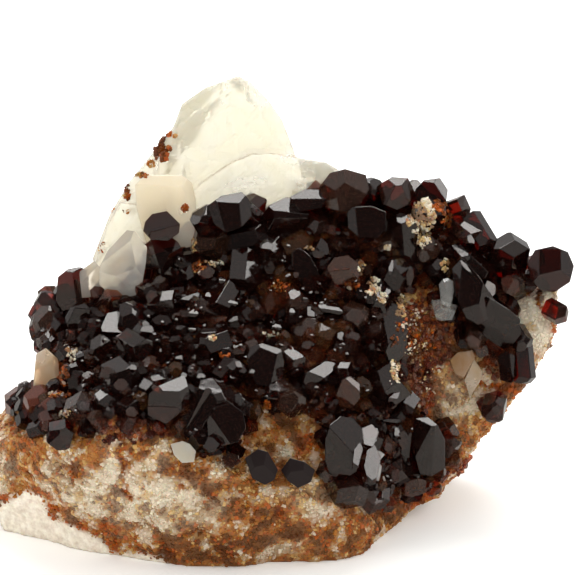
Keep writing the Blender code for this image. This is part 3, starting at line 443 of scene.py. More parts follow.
# Angles of the mineral's faces to its axis, and the width of the wear on its edges
FLAT_PYRAMID = math.radians(27.6)
STEEP_PYRAMID = math.radians(46.3)
RHOMB_LEAN = math.radians(65.0)
EDGE_WEAR = 0.034
UNCUT_BLOCK = 160.0
DEPTH_OFF_ROCK = 6.0


# ---------------------------------------------------------------- bodies
def cleave(faces):
    """The convex body behind every face, each a (point, outward direction)."""
    body = bmesh.new()
    bmesh.ops.create_cube(body, size=UNCUT_BLOCK)
    for point, outward in faces:
        bmesh.ops.bisect_plane(
            body, geom=body.verts[:] + body.edges[:] + body.faces[:], dist=0.0001,
            plane_co=Vector(point), plane_no=Vector(outward).normalized(), clear_outer=True)
        rim = [edge for edge in body.edges if edge.is_boundary]
        if rim:
            bmesh.ops.edgeloop_fill(body, edges=rim)
    bmesh.ops.recalc_face_normals(body, faces=body.faces)
    return body


def soften(body, width, segments=2):
    """Take the sharpness off every edge of a faceted body."""
    bmesh.ops.bevel(body, geom=body.edges[:], offset=width, offset_type="OFFSET",
                    segments=segments, profile=0.5, affect="EDGES", clamp_overlap=True,
                    material=-1)
    return body


def paint(body, tint):
    """Give every corner of a body its tint."""
    layer = body.verts.layers.float_color.new("tint")
    for vert in body.verts:
        vert[layer] = (*tint, 0.0)
    return body


def outline_faces(outline, near, far):
    """Walls along the lines of sight through an outline, closed at two depths."""
    front = [at_depth(right, down, near) for right, down in outline]
    middle = sum(front, Vector()) / len(front)
    faces = [(front[0], (0.0, -1.0, 0.0)), (at_depth(*outline[0], far), (0.0, 1.0, 0.0))]
    for index, start in enumerate(front):
        end = front[(index + 1) % len(front)]
        outward = (end - start).cross(start - EYE)
        if outward.dot(start - middle) < 0.0:
            outward.negate()
        faces.append((start, outward))
    return faces


def slab(outline, near, far, trims):
    """A pale crystal between two depths, with its edges trimmed by faces."""
    faces = outline_faces(outline, near, far)
    return cleave(faces + [(at_depth(*place), outward) for place, outward in trims])


def cut_body(depth, outline, faces):
    """A crystal given by its outline and faces, standing around a depth."""
    points = [(right / TENTHS, down / TENTHS) for right, down in outline]
    spread = max(max(values) - min(values) for values in zip(*points))
    walls = outline_faces(points, depth - BEHIND_FACES, depth + 0.55 * spread)
    for right, down, height, fall_right, fall_up in faces:
        outward = fall_right * RIGHT + fall_up * UP + TOWARDS
        walls.append((at_depth(right / TENTHS, down / TENTHS, depth - height),
                      outward.normalized()))
    return soften(cleave(walls), EDGE_WEAR, 1), walls


def slope(tilt, turn):
    """The outward direction of a face tilted away from the tip, turned about the crystal."""
    angle = math.radians(turn)
    return Vector((math.sin(tilt) * math.cos(angle), math.sin(tilt) * math.sin(angle),
                   math.cos(tilt)))


def uvite_faces(width, length, seed):
    """The faces of one uvite: a six-sided prism under a low three-faced pyramid."""
    chance = random.Random(seed)
    half = width / 2
    tip = Vector((0.0, 0.0, 1.0))
    faces = []
    for side in range(6):
        angle = math.radians(60.0 * side + 30.0)
        outward = Vector((math.cos(angle), math.sin(angle), 0.0))
        faces.append((outward * half * chance.uniform(0.88, 1.06), outward))
    for side in range(3):
        apex = tip * (length / 2 + half * chance.uniform(-0.16, 0.10))
        faces.append((apex, slope(FLAT_PYRAMID, 120.0 * side)))
    faces.append((tip * (-length / 2), -tip))
    kind = chance.random()
    if kind < 0.40:
        faces.append((tip * (length / 2 - half * chance.uniform(0.10, 0.22)), tip))
    if 0.25 < kind < 0.75:
        reach = half * math.sin(STEEP_PYRAMID) + (length / 2) * math.cos(STEEP_PYRAMID)
        for side in range(3):
            outward = slope(STEEP_PYRAMID, 120.0 * side + 60.0)
            faces.append((outward * (reach - half * chance.uniform(0.30, 0.42)), outward))
    return faces


def slanted_cube(edge, rise=1.0):
    """A cleavage rhomb of magnesite, standing on a corner."""
    body = bmesh.new()
    bmesh.ops.create_cube(body, size=edge)
    slant = Matrix.Identity(4)
    for column in range(3):
        slant[0][column], slant[1][column], height = slope(RHOMB_LEAN, 120.0 * column)
        slant[2][column] = height * rise
    body.transform(slant)
    return body


def placed(middle, heading, lean, spin):
    """The place of a crystal from its middle, the heading and lean of its tip, and its spin."""
    across, away = math.radians(heading), math.radians(lean)
    flat = math.cos(across) * RIGHT + math.sin(across) * UP
    tip = math.cos(away) * TOWARDS + math.sin(away) * flat
    turn = tip.to_track_quat("Z", "Y").to_matrix().to_4x4()
    return Matrix.Translation(middle) @ turn @ Matrix.Rotation(math.radians(spin), 4, "Z")


def standing(surface, right, down, heading, lean, spin, height):
    """The place of a crystal with its middle a height in front of the rock."""
    sight = sight_to(right, down)
    hit = surface.ray_cast(EYE, sight)[0]
    if hit is None:
        nearest = surface.find_nearest(at_depth(right, down, DEPTH_OFF_ROCK))[0]
        hit = EYE + sight * (nearest - EYE).dot(sight)
    return placed(hit - sight * height, heading, lean, spin)


# ---------------------------------------------------------------- handing pieces over
def linked(name, data):
    """An object that shows a mesh, lamp or camera in the scene."""
    made = bpy.data.objects.new(name, data)
    bpy.context.scene.collection.objects.link(made)
    return made


def hand_over(name, mesh, material, replaced=()):
    """Make a finished mesh, already in metres, a piece of the specimen."""
    piece = linked(name, mesh)
    mesh.materials.clear()
    mesh.materials.append(material)
    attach(piece, "root")
    if replaced:
        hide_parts(*replaced)
    return piece


def as_mesh(name, body):
    """Turn a body in millimetres into a mesh in metres."""
    bmesh.ops.scale(body, vec=(METRES, METRES, METRES), verts=body.verts)
    mesh = bpy.data.meshes.new(name)
    body.to_mesh(mesh)
    body.free()
    return mesh


def gathered(bodies):
    """Several bodies as one."""
    whole = bmesh.new()
    for body in bodies:
        mesh = bpy.data.meshes.new("part")
        body.to_mesh(mesh)
        whole.from_mesh(mesh)
        bpy.data.meshes.remove(mesh)
    return whole


def on_holder(body):
    """A loose object that holds a body while modifiers work on it."""
    mesh = bpy.data.meshes.new("holder")
    body.to_mesh(mesh)
    return linked("holder", mesh)


def shaped(holder):
    """The mesh of a holder after its modifiers."""
    return bpy.data.meshes.new_from_object(
        holder.evaluated_get(bpy.context.evaluated_depsgraph_get()))


def remeshed(body, voxel):
    """A body's mesh rebuilt as an even skin, which lightly rounds its edges."""
    holder = on_holder(body)
    remesh = holder.modifiers.new("remesh", "REMESH")
    remesh.mode = "VOXEL"
    remesh.voxel_size = voxel
    mesh = shaped(holder)
    bpy.data.objects.remove(holder)
    return mesh


def joined(bodies):
    """Several overlapping convex bodies as one closed body."""
    holders = [on_holder(body) for body in bodies]
    for tool in holders[1:]:
        step = holders[0].modifiers.new("join", "BOOLEAN")
        step.operation = "UNION"
        step.solver = "EXACT"
        step.object = tool
    whole = bmesh.new()
    whole.from_mesh(shaped(holders[0]))
    for holder in holders:
        bpy.data.objects.remove(holder)
    return whole


class Stamp:
    """A small body to be repeated many times, as plain arrays."""

    def __init__(self, body):
        bmesh.ops.triangulate(body, faces=body.faces)
        body.verts.index_update()
        self.points = np.array([vert.co[:] for vert in body.verts])
        self.corners = np.array([[vert.index for vert in face.verts] for face in body.faces])
        body.free()


def lay_tints(mesh, colours):
    """Give every corner of a mesh its own tint."""
    layer = mesh.color_attributes.new("tint", "FLOAT_COLOR", "POINT")
    layer.data.foreach_set("color", colours.ravel())


def stamped(name, stamps, kinds, places, tints):
    """One mesh of many stamped bodies. places are 4 by 4 matrices in millimetres."""
    points, corners, colours = [], [], []
    start = 0
    for kind, stamp in enumerate(stamps):
        chosen = np.nonzero(kinds == kind)[0]
        if not len(chosen):
            continue
        turned = np.einsum("nij,mj->nmi", places[chosen, :3, :3], stamp.points)
        turned += places[chosen, None, :3, 3]
        count = len(stamp.points)
        points.append(turned.reshape(-1, 3))
        offsets = start + count * np.arange(len(chosen))
        corners.append((stamp.corners[None] + offsets[:, None, None]).reshape(-1, 3))
        colours.append(np.repeat(tints[chosen], count, axis=0))
        start += count * len(chosen)
    points = np.concatenate(points) * METRES
    corners = np.concatenate(corners)
    mesh = bpy.data.meshes.new(name)
    mesh.vertices.add(len(points))
    mesh.vertices.foreach_set("co", points.ravel())
    mesh.loops.add(corners.size)
    mesh.loops.foreach_set("vertex_index", corners.ravel().astype(np.int32))
    mesh.polygons.add(len(corners))
    mesh.polygons.foreach_set("loop_start", np.arange(0, corners.size, 3, dtype=np.int32))
    mesh.update(calc_edges=True)
    lay_tints(mesh, np.concatenate(colours))
    mesh.validate()
    mesh.shade_flat()
    return mesh


# ---------------------------------------------------------------- scattering
def fine_noise(points, size, shift=0.0):
    """Smooth noise at places in space, its bumps about as wide as the size."""
    return np.array([noise.noise((point[0] / size + shift, point[1] / size, point[2] / size))
                     for point in points])


def read_from(data, field):
    """Three numbers for each element of a mesh's data, as rows."""
    values = np.empty(len(data) * 3)
    data.foreach_get(field, values)
    return values.reshape(-1, 3)


def triangles_of(mesh):
    """A mesh's triangles in millimetres: corner points, directions and areas."""
    mesh.calc_loop_triangles()
    points = read_from(mesh.vertices, "co") / METRES
    corners = np.empty(len(mesh.loop_triangles) * 3, dtype=np.int32)
    mesh.loop_triangles.foreach_get("vertices", corners)
    corners = points[corners.reshape(-1, 3)]
    spans = np.cross(corners[:, 1] - corners[:, 0], corners[:, 2] - corners[:, 0])
    sizes = np.linalg.norm(spans, axis=1)
    return corners, spans / np.maximum(sizes, 1e-12)[:, None], sizes / 2


def scatter(corners, normals, areas, count, chance):
    """Random places on a surface of triangles, as (points, normals)."""
    chosen = chance.choice(len(areas), size=count, p=areas / areas.sum())
    first = chance.random((count, 1))
    second = chance.random((count, 1))
    flip = first + second > 1.0
    first = np.where(flip, 1.0 - first, first)
    second = np.where(flip, 1.0 - second, second)
    base = corners[chosen]
    found = base[:, 0] + first * (base[:, 1] - base[:, 0]) + second * (base[:, 2] - base[:, 0])
    return found, normals[chosen]


def spaced(points, reach):
    """Keep the places that are further than their reach from every place already kept."""
    cell = float(reach.max())
    kept = []
    grid = {}
    for index, point in enumerate(points):
        key = tuple((point // cell).astype(int))
        near = [other for dx in (-1, 0, 1) for dy in (-1, 0, 1) for dz in (-1, 0, 1)
                for other in grid.get((key[0] + dx, key[1] + dy, key[2] + dz), ())]
        if all(np.sum((points[other] - point) ** 2) > (0.5 * (reach[other] + reach[index])) ** 2
               for other in near):
            grid.setdefault(key, []).append(index)
            kept.append(index)
    return np.array(kept, dtype=int)


def turned_to(directions, spins, widths, lengths):
    """Matrices that stand bodies along directions, spun and scaled, without their places."""
    along = directions / np.linalg.norm(directions, axis=1, keepdims=True)
    helper = np.where(np.abs(along[:, 2:3]) < 0.9, [[0.0, 0.0, 1.0]], [[1.0, 0.0, 0.0]])
    side = np.cross(helper, along)
    side /= np.linalg.norm(side, axis=1, keepdims=True)
    other = np.cross(along, side)
    cosine, sine = np.cos(spins)[:, None], np.sin(spins)[:, None]
    places = np.zeros((len(along), 4, 4))
    places[:, :3, 0] = (cosine * side + sine * other) * widths[:, None]
    places[:, :3, 1] = (cosine * other - sine * side) * widths[:, None]
    places[:, :3, 2] = along * lengths[:, None]
    places[:, 3, 3] = 1.0
    return places


# ---------------------------------------------------------------- the rock
GRAIN_COLOURS = {
    "white": srgb(240, 228, 206),
    "grey": srgb(186, 160, 126),
    "cream": srgb(218, 180, 112),
    "ochre": srgb(172, 108, 36),
    "orange": srgb(180, 80, 14),
    "brown": srgb(102, 52, 16),
    "dark": srgb(62, 28, 10),
}
GRAIN_TABLE = np.array(list(GRAIN_COLOURS.values()))
# Shares of the grain colours, in the order of that table
MIXES = {
    "snow": (0.84, 0.06, 0.10, 0.00, 0.00, 0.00, 0.00),
    "white": (0.42, 0.26, 0.18, 0.09, 0.01, 0.04, 0.00),
    "grey": (0.22, 0.40, 0.12, 0.12, 0.02, 0.10, 0.02),
    "cream": (0.34, 0.08, 0.38, 0.14, 0.04, 0.02, 0.00),
    "golden": (0.04, 0.02, 0.22, 0.48, 0.16, 0.07, 0.01),
    "ochre": (0.03, 0.06, 0.14, 0.40, 0.18, 0.16, 0.03),
    "orange": (0.00, 0.01, 0.05, 0.26, 0.54, 0.12, 0.02),
    "brown": (0.00, 0.04, 0.06, 0.20, 0.12, 0.40, 0.18),
    "rust": (0.00, 0.00, 0.04, 0.08, 0.30, 0.34, 0.24),
}
# Patches of colour on the broken rock: mix, middle on the display sheet, half width and height
PATCHES = [
    ("golden", 4.0, 45.0, 4.6, 3.6),
    ("white", 0.2, 47.0, 1.4, 4.0),
    ("white", 13.0, 49.6, 7.6, 3.6),
    ("white", 10.9, 46.0, 1.3, 3.4),
    ("golden", 9.6, 45.8, 2.4, 2.0),
    ("brown", 12.4, 45.9, 0.9, 2.6),
    ("ochre", 14.6, 45.9, 1.5, 1.6),
    ("cream", 16.2, 45.0, 1.2, 1.2),
    ("brown", 19.0, 47.0, 4.2, 0.9),
    ("grey", 6.2, 47.2, 2.6, 1.8),
    ("brown", 7.2, 46.8, 1.0, 1.0),
    ("brown", 8.6, 48.6, 0.6, 0.9),
    ("orange", 12.9, 48.7, 0.4, 0.8),
    ("orange", 18.1, 48.8, 0.6, 0.5),
    ("orange", 14.6, 50.6, 0.7, 0.5),
    ("grey", 19.0, 51.5, 3.4, 1.8),
    ("golden", 25.5, 49.0, 5.0, 3.0),
    ("grey", 21.6, 50.4, 1.4, 1.2),
    ("white", 22.0, 47.4, 0.9, 1.2),
    ("brown", 21.0, 49.4, 1.2, 0.7),
    ("cream", 31.0, 49.6, 2.4, 1.8),
    ("white", 33.2, 51.0, 1.1, 0.9),
    ("orange", 31.6, 52.2, 1.2, 0.8),
    ("brown", 25.6, 51.6, 1.2, 0.7),
    ("grey", 28.6, 54.8, 2.2, 0.9),
    ("brown", 22.0, 54.6, 4.4, 1.4),
    ("ochre", 34.6, 52.8, 4.4, 2.0),
    ("orange", 24.8, 44.4, 1.2, 1.0),
    ("golden", 27.0, 43.0, 2.6, 1.8),
    ("white", 28.6, 44.8, 1.1, 0.8),
    ("orange", 30.8, 44.4, 1.2, 1.0),
    ("orange", 41.6, 49.8, 2.2, 1.2),
    ("orange", 9.4, 52.6, 2.4, 0.7),
    ("orange", 11.6, 54.2, 1.6, 0.8),
    ("orange", 5.4, 50.6, 1.0, 1.3),
    ("orange", 1.2, 49.4, 1.6, 0.7),
    ("orange", 17.2, 55.4, 1.0, 0.5),
    ("cream", 42.7, 21.4, 1.3, 1.8),
    ("orange", 44.6, 25.6, 0.8, 0.6),
    ("cream", 38.0, 29.4, 1.6, 1.0),
    ("cream", 40.2, 30.8, 0.9, 1.4),
    ("rust", 42.4, 35.4, 2.8, 4.4),
    ("cream", 39.6, 37.4, 1.2, 1.4),
    ("cream", 46.2, 39.4, 2.8, 4.2),
    ("golden", 45.0, 43.4, 1.8, 2.0),
    ("ochre", 50.4, 37.8, 2.0, 4.0),
    # painted light over the stone's own pale colour: the white and snow patches at the right end stand
    # in for light shining through the thin stone there
    ("white", 53.6, 31.8, 1.8, 2.8),
    ("rust", 52.6, 28.8, 0.5, 1.6),
    ("rust", 53.8, 29.6, 0.4, 1.4),
    ("cream", 20.0, 25.2, 1.6, 1.6),
    ("rust", 5.8, 37.2, 2.0, 2.4),
    # painted light: the two snow patches whiten the right end further, for the light shining through
    # its thin edge
    ("snow", 53.8, 31.6, 3.0, 4.4),
    ("snow", 53.8, 31.6, 2.6, 4.0),
    ("rust", 53.9, 29.8, 0.4, 1.2),
    ("rust", 52.6, 29.0, 0.5, 0.8),
    ("orange", 55.7, 29.6, 0.6, 0.6),
    ("orange", 55.3, 33.0, 0.7, 0.7),
    ("orange", 53.5, 35.2, 0.7, 0.8),
    ("white", 45.6, 40.2, 2.2, 1.8),
    ("cream", 48.2, 36.8, 1.6, 2.0),
    ("rust", 49.5, 38.4, 1.8, 0.8),
    ("orange", 50.6, 38.4, 1.6, 1.0),
    ("golden", 48.6, 42.4, 2.2, 1.6),
    ("golden", 2.6, 44.4, 2.6, 2.4),
    ("white", 8.6, 49.0, 3.4, 2.2),
    ("white", 15.6, 50.4, 4.2, 2.8),
    ("snow", 8.4, 49.6, 2.0, 1.3),
    ("snow", 11.0, 47.2, 0.9, 2.0),
    ("snow", 14.6, 46.4, 1.2, 0.7),
    ("snow", 14.8, 50.0, 2.4, 1.2),
    ("golden", 9.2, 45.6, 1.5, 1.5),
    ("rust", 12.4, 46.2, 0.5, 1.7),
    ("brown", 7.4, 47.2, 0.7, 0.8),
    ("rust", 12.9, 49.0, 0.35, 0.7),
    ("rust", 18.2, 49.0, 0.5, 0.4),
    ("brown", 24.6, 50.2, 1.6, 1.0),
    ("rust", 27.6, 51.6, 0.9, 0.6),
    ("brown", 30.4, 53.4, 1.6, 0.6),
]
PATCH_SPREAD = 1.25
PATCH_WANDER = 0.9
# The smooth cleaved foot of the block, low on the left
SMOOTH_OUTLINE = [
    (-6.0, 50.2), (0.0, 50.3), (1.5, 49.8), (2.6, 49.0), (4.2, 49.7), (5.0, 51.7), (7.5, 52.8),
    (9.5, 53.6), (11.5, 55.4), (13.6, 55.3), (16.5, 56.0), (18.0, 58.0), (10.0, 62.0), (-6.0, 60.0),
]
BARE_PATCHES = [  # inside the druse, where the rock shows between the crystals
    (42.7, 21.6, 1.2, 1.9), (38.0, 29.4, 1.5, 0.9), (40.2, 30.8, 0.8, 1.3), (20.0, 25.0, 1.7, 1.3),
    (39.6, 37.4, 1.1, 1.2), (33.6, 25.0, 0.8, 0.5),
]
# Where tiny amber and red-brown crystals show between the black ones: middle on the
# display sheet, half width and height, strength
SUGAR_PATCHES = [
    (19.2, 26.2, 1.0, 0.8, 1.0), (22.4, 26.3, 1.4, 0.7, 1.0), (4.0, 31.0, 0.8, 0.6, 0.8),
    (5.9, 35.2, 1.4, 1.0, 0.9), (6.6, 37.4, 0.9, 1.1, 0.9), (28.0, 28.5, 1.5, 0.9, 1.0),
    (34.2, 28.5, 2.0, 0.9, 1.0), (37.6, 25.3, 1.3, 0.5, 0.7), (27.1, 33.8, 2.0, 0.7, 0.9),
    (22.1, 35.2, 1.4, 0.8, 0.9), (38.0, 35.5, 0.5, 0.5, 1.0), (32.4, 35.3, 1.0, 0.6, 0.8),
    (43.2, 22.4, 2.4, 2.6, 0.9), (39.6, 22.5, 0.9, 1.3, 0.8), (48.2, 24.4, 1.0, 1.2, 0.9),
    (50.8, 26.2, 1.7, 1.1, 0.9), (42.4, 33.4, 2.8, 3.4, 1.0), (6.1, 37.8, 1.3, 2.8, 1.0),
    (12.5, 43.0, 2.8, 1.3, 0.8), (17.8, 43.0, 3.2, 0.8, 0.7), (23.4, 39.4, 1.7, 0.8, 0.8),
    (24.2, 37.8, 1.2, 1.4, 0.8), (26.7, 40.6, 0.7, 0.6, 1.0), (41.4, 39.2, 1.7, 1.8, 0.9),
    (40.8, 47.0, 0.8, 0.5, 1.0), (22.0, 33.4, 1.6, 1.0, 0.7), (30.4, 36.2, 1.6, 1.0, 0.6),
    (8.6, 40.8, 3.0, 0.8, 0.8), (35.6, 41.9, 0.8, 0.5, 1.0), (49.6, 36.0, 1.4, 1.6, 0.8),
    (31.0, 24.0, 1.2, 0.8, 0.5), (46.0, 46.6, 1.0, 0.8, 0.7),
]
SUGAR_SPREAD = 1.2
SMOOTH_COLOUR = srgb(255, 246, 228)
BED_DARK = srgb(60, 18, 9)
BED_AMBER = srgb(170, 66, 20)
# How much painted shade darkens the deepest pits of the rock, red least and blue most
PAINTED_PIT_SHADE = (0.45, 0.62, 0.80)
ROCK_VOXEL = 0.34
ROCK_SEED = 11
CRUST_RISE = 0.55
FRONT_REACH = 10.5  # how far back the rock still belongs to the display side


def blended(first, second, share):
    """Rows that go from the first to the second as a share goes from 0 to 1."""
    share = share[:, None]
    return np.array(first) * (1.0 - share) + np.array(second) * share


def in_view(points, normals):
    """1 where the rock faces the display side, 0 where it is turned away."""
    facing = normals @ np.array(TOWARDS)
    return np.clip((facing + 0.15) / 0.3, 0.0, 1.0) * (points[:, 1] < FRONT_REACH)


def crust_share(points, normals):
    """How much of the uvite crust covers each place on the rock."""
    places = on_sheet(points)
    share = np.zeros(len(points))
    for outline, fade, reach in ((DRUSE_OUTLINE, 0.9, DRUSE_REACH),
                                 (LEDGE_OUTLINE, 0.6, LEDGE_REACH)):
        part = np.clip(inside_by(places, outline) / fade + 0.3, 0.0, 1.0)
        share = np.maximum(share, part * np.clip((reach - points[:, 1]) / 0.8, 0.0, 1.0))
    for patch in BARE_PATCHES:
        share *= 1.0 - ellipse(places, *patch)
    share *= normals @ np.array(TOWARDS) > -0.45
    return share * np.clip((points[:, 2] - 2.2) / 0.8, 0.0, 1.0)


def smooth_share(points, normals):
    """How much each place belongs to the smooth cleaved foot."""
    share = np.clip(inside_by(on_sheet(points), SMOOTH_OUTLINE) / 0.4 + 0.5, 0.0, 1.0)
    hidden = np.clip((normals[:, 1] - 0.1) / 0.2, 0.0, 1.0)
    return share * (1.0 - hidden) * in_view(points, normals)


def sugar_share(places):
    """How much each place on the sheet shows tiny amber crystals."""
    share = np.zeros(len(places))
    for right, down, half_width, half_height, strength in SUGAR_PATCHES:
        share = np.maximum(share, strength * ellipse(
            places, right, down, half_width * SUGAR_SPREAD, half_height * SUGAR_SPREAD))
    return share


def colour_mix(points, normals):
    """The share of each grain colour at places on the rock, as rows that add up to 1."""
    wander = np.stack([fine_noise(points, 2.0), fine_noise(points, 2.0, 9.0)], axis=-1)
    places = on_sheet(points) + PATCH_WANDER * wander
    broad = np.clip(0.5 + 1.6 * fine_noise(points, 9.0, 3.0), 0.0, 1.0)
    mid = np.clip(0.5 + 2.0 * fine_noise(points, 3.4, 5.0), 0.0, 1.0)
    seen = in_view(points, normals)
    base = blended(MIXES["ochre"], MIXES["golden"], 0.5 * mid)
    far_side = blended(MIXES["golden"], MIXES["white"], broad)
    mix = blended(0.6 * far_side + 0.4 * base, base, seen)
    for name, right, down, half_width, half_height in PATCHES:
        share = ellipse(places, right, down, half_width * PATCH_SPREAD,
                        half_height * PATCH_SPREAD)
        mix = blended(mix, MIXES[name], share * seen)
    return mix / mix.sum(axis=1, keepdims=True)


def pick_grains(mix, points, chance):
    """A grain colour for each row of shares; neighbours tend to pick the same one."""
    levels = np.cumsum(mix, axis=1)
    clump = (0.5 + 0.9 * fine_noise(points, 2.0, 6.0) + 0.7 * fine_noise(points, 0.95, 1.0)
             + 0.5 * fine_noise(points, 0.45, 2.0))
    draw = np.clip(clump + chance.normal(0.0, 0.07, len(mix)), 0.0, 0.999)
    draw = 0.5 - 0.5 * np.cos(math.pi * draw)
    chosen = (draw[:, None] > levels).sum(axis=1).clip(0, len(GRAIN_TABLE) - 1)
    colours = GRAIN_TABLE[chosen] * chance.uniform(0.78, 1.10, (len(mix), 1))
    return np.clip(0.68 * colours + 0.32 * (mix @ GRAIN_TABLE), 0.0, 0.95)


def broken_rock(material):
    """The block with its granular surface, and the crust's bed raised under the crystals."""
    body = bmesh.new()
    body.from_mesh(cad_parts["magnesite_matrix"].data)
    bmesh.ops.remove_doubles(body, verts=body.verts, dist=1e-7)
    bmesh.ops.scale(body, vec=(1.0 / METRES,) * 3, verts=body.verts)
    plain = BVHTree.FromBMesh(body)
    fine = remeshed(body, ROCK_VOXEL)
    points, normals = read_from(fine.vertices, "co"), read_from(fine.vertices, "normal")
    crust = crust_share(points, normals)
    smooth = smooth_share(points, normals)

    # the broken surface: knobs and pits, less of them on the smooth foot and under the crust
    rough = (1.0 - 0.85 * smooth) * (1.0 - 0.5 * crust)
    height = 0.36 * fine_noise(points, 1.7) + 0.26 * fine_noise(points, 0.8, 4.0)
    height += np.clip(fine_noise(points, 3.0, 8.0) - 0.25, 0.0, 1.0) * -1.1
    lift = rough * (height - 0.08) + CRUST_RISE * crust
    moved = points + normals * (lift * np.clip(points[:, 2] / 0.8, 0.0, 1.0))[:, None]
    moved[:, 2] = np.maximum(np.where(points[:, 2] < 0.25, points[:, 2], moved[:, 2]), 0.0)
    fine.vertices.foreach_set("co", (moved * METRES).ravel())

    # its colours: grains, painted shade in the hollows (partly the darker brown of the stone there),
    # the pale foot, and the red-brown bed of the crust
    chance = np.random.default_rng(ROCK_SEED)
    mix = colour_mix(points, normals)
    colours = 0.25 * (mix @ GRAIN_TABLE) + 0.75 * pick_grains(mix, points, chance)
    # painted shade: pits are darkened by their depth, for the shade that falls in them and for the
    # darker brown stone there
    pit_shade = np.clip(-2.2 * rough * height, 0.0, 0.8)[:, None]
    colours *= 1.0 - pit_shade * np.array(PAINTED_PIT_SHADE)
    colours = blended(colours, SMOOTH_COLOUR, smooth)
    bed = blended(BED_DARK, BED_AMBER, sugar_share(on_sheet(points)))
    bed *= chance.uniform(0.4, 1.5, (len(points), 1))
    colours = blended(colours, bed, crust)
    lay_tints(fine, np.concatenate([colours, smooth[:, None]], axis=1))
    fine.name = "rock"
    fine.shade_smooth()
    fine.update()
    return plain, hand_over("rock", fine, material, ("magnesite_matrix",))


# ---------------------------------------------------------------- grains
GRAIN_KINDS = 5
GRAIN_WIDTH = 0.75
GRAIN_SPACING = 0.62
GRAIN_SUNK = 0.12
FRONT_GRAINS = (24000, 0.20, 0.52, 21)  # tries, smallest, largest, seed
BACK_GRAINS = (15000, 0.34, 0.80, 22)
# Clusters of grains that sit on the crystals: mix, middle on the display sheet, half width
# and height, number, smallest and largest grain
ON_DRUSE = [
    ("white", 42.2, 21.8, 1.5, 1.7, 620, 0.09, 0.36), ("snow", 42.7, 20.2, 0.5, 0.5, 50, 0.12, 0.5),
    ("orange", 43.9, 20.6, 0.9, 0.7, 120, 0.12, 0.4), ("cream", 42.5, 24.0, 0.8, 1.1, 200, 0.09, 0.32),
    ("rust", 44.8, 21.9, 0.7, 0.9, 60, 0.15, 0.4), ("cream", 44.5, 26.2, 0.4, 1.0, 50, 0.12, 0.4),
    ("cream", 36.2, 26.8, 0.5, 0.9, 110, 0.09, 0.32), ("white", 37.3, 28.6, 0.9, 0.9, 240, 0.09, 0.32),
    ("white", 38.3, 29.8, 0.6, 0.5, 90, 0.09, 0.32), ("rust", 35.2, 28.6, 0.8, 0.4, 70, 0.10, 0.30),
    ("white", 21.4, 26.3, 0.9, 0.35, 90, 0.09, 0.28), ("rust", 20.0, 26.6, 0.8, 0.8, 110, 0.09, 0.26),
    ("cream", 40.1, 30.7, 0.6, 1.3, 160, 0.09, 0.32), ("white", 39.5, 37.3, 0.7, 1.3, 190, 0.09, 0.3),
    ("white", 27.0, 33.4, 1.2, 0.3, 40, 0.12, 0.3), ("white", 38.7, 24.7, 0.4, 0.35, 20, 0.2, 0.5),
    ("white", 21.3, 33.8, 0.5, 0.3, 30, 0.12, 0.3), ("grey", 7.2, 35.3, 0.7, 1.0, 80, 0.12, 0.35),
    ("white", 6.4, 41.4, 0.9, 0.5, 50, 0.12, 0.35), ("rust", 5.6, 39.5, 1.5, 0.35, 100, 0.10, 0.28),
    ("orange", 26.7, 40.6, 0.4, 0.6, 40, 0.12, 0.35),
    ("white", 41.0, 32.0, 1.6, 2.2, 36, 0.10, 0.28), ("orange", 42.2, 33.2, 2.4, 3.0, 90, 0.10, 0.34),
    ("cream", 43.6, 38.0, 1.6, 1.4, 60, 0.10, 0.30), ("cream", 19.3, 24.4, 0.5, 0.9, 80, 0.09, 0.28),
    ("rust", 28.0, 28.6, 1.2, 0.6, 80, 0.09, 0.28), ("rust", 6.4, 37.4, 0.7, 1.3, 90, 0.15, 0.4),
    ("white", 41.8, 35.2, 1.3, 1.5, 90, 0.10, 0.30), ("rust", 41.0, 33.6, 2.2, 2.6, 110, 0.12, 0.40),
    ("cream", 31.0, 24.8, 0.6, 0.25, 16, 0.12, 0.25), ("orange", 22.3, 35.4, 0.7, 0.3, 36, 0.12, 0.3),
]
ON_PALE = [
    ("rust", 16.3, 14.6, 0.9, 1.5, 420, 0.15, 0.55), ("orange", 17.1, 13.5, 0.5, 0.5, 70, 0.12, 0.4),
    ("orange", 15.2, 16.3, 0.8, 0.6, 90, 0.12, 0.35), ("brown", 14.3, 17.5, 0.7, 0.3, 60, 0.12, 0.35),
    ("rust", 12.7, 19.2, 0.4, 0.9, 120, 0.15, 0.4), ("orange", 11.3, 20.6, 0.3, 0.6, 40, 0.10, 0.3),
    ("brown", 12.6, 21.1, 0.35, 0.3, 16, 0.10, 0.25), ("orange", 10.1, 24.8, 0.5, 0.8, 24, 0.08, 0.2),
    ("orange", 18.4, 20.8, 0.45, 0.45, 110, 0.10, 0.22),
]


def grain_stamps():
    """A few small magnesite rhombs, each cleaved a little differently."""
    chance = random.Random(5)
    stamps = []
    for _ in range(GRAIN_KINDS):
        body = slanted_cube(1.0, 1.1)
        for vert in body.verts:
            vert.co += Vector([chance.uniform(-reach, reach) for reach in (0.14, 0.14, 0.10)])
        bmesh.ops.recalc_face_normals(body, faces=body.faces)
        stamps.append(Stamp(body))
    return stamps


def grain_piece(name, points, ways, spins, sizes, colours, material, chance):
    """Grains of magnesite at their places, as one piece."""
    stamps = grain_stamps()
    places = turned_to(ways, spins, sizes * GRAIN_WIDTH, sizes * GRAIN_WIDTH)
    places[:, :3, 3] = points
    tints = np.concatenate([colours, chance.random((len(points), 1))], axis=1)
    kinds = chance.integers(0, len(stamps), len(points))
    hand_over(name, stamped(name, stamps, kinds, places, tints), material)


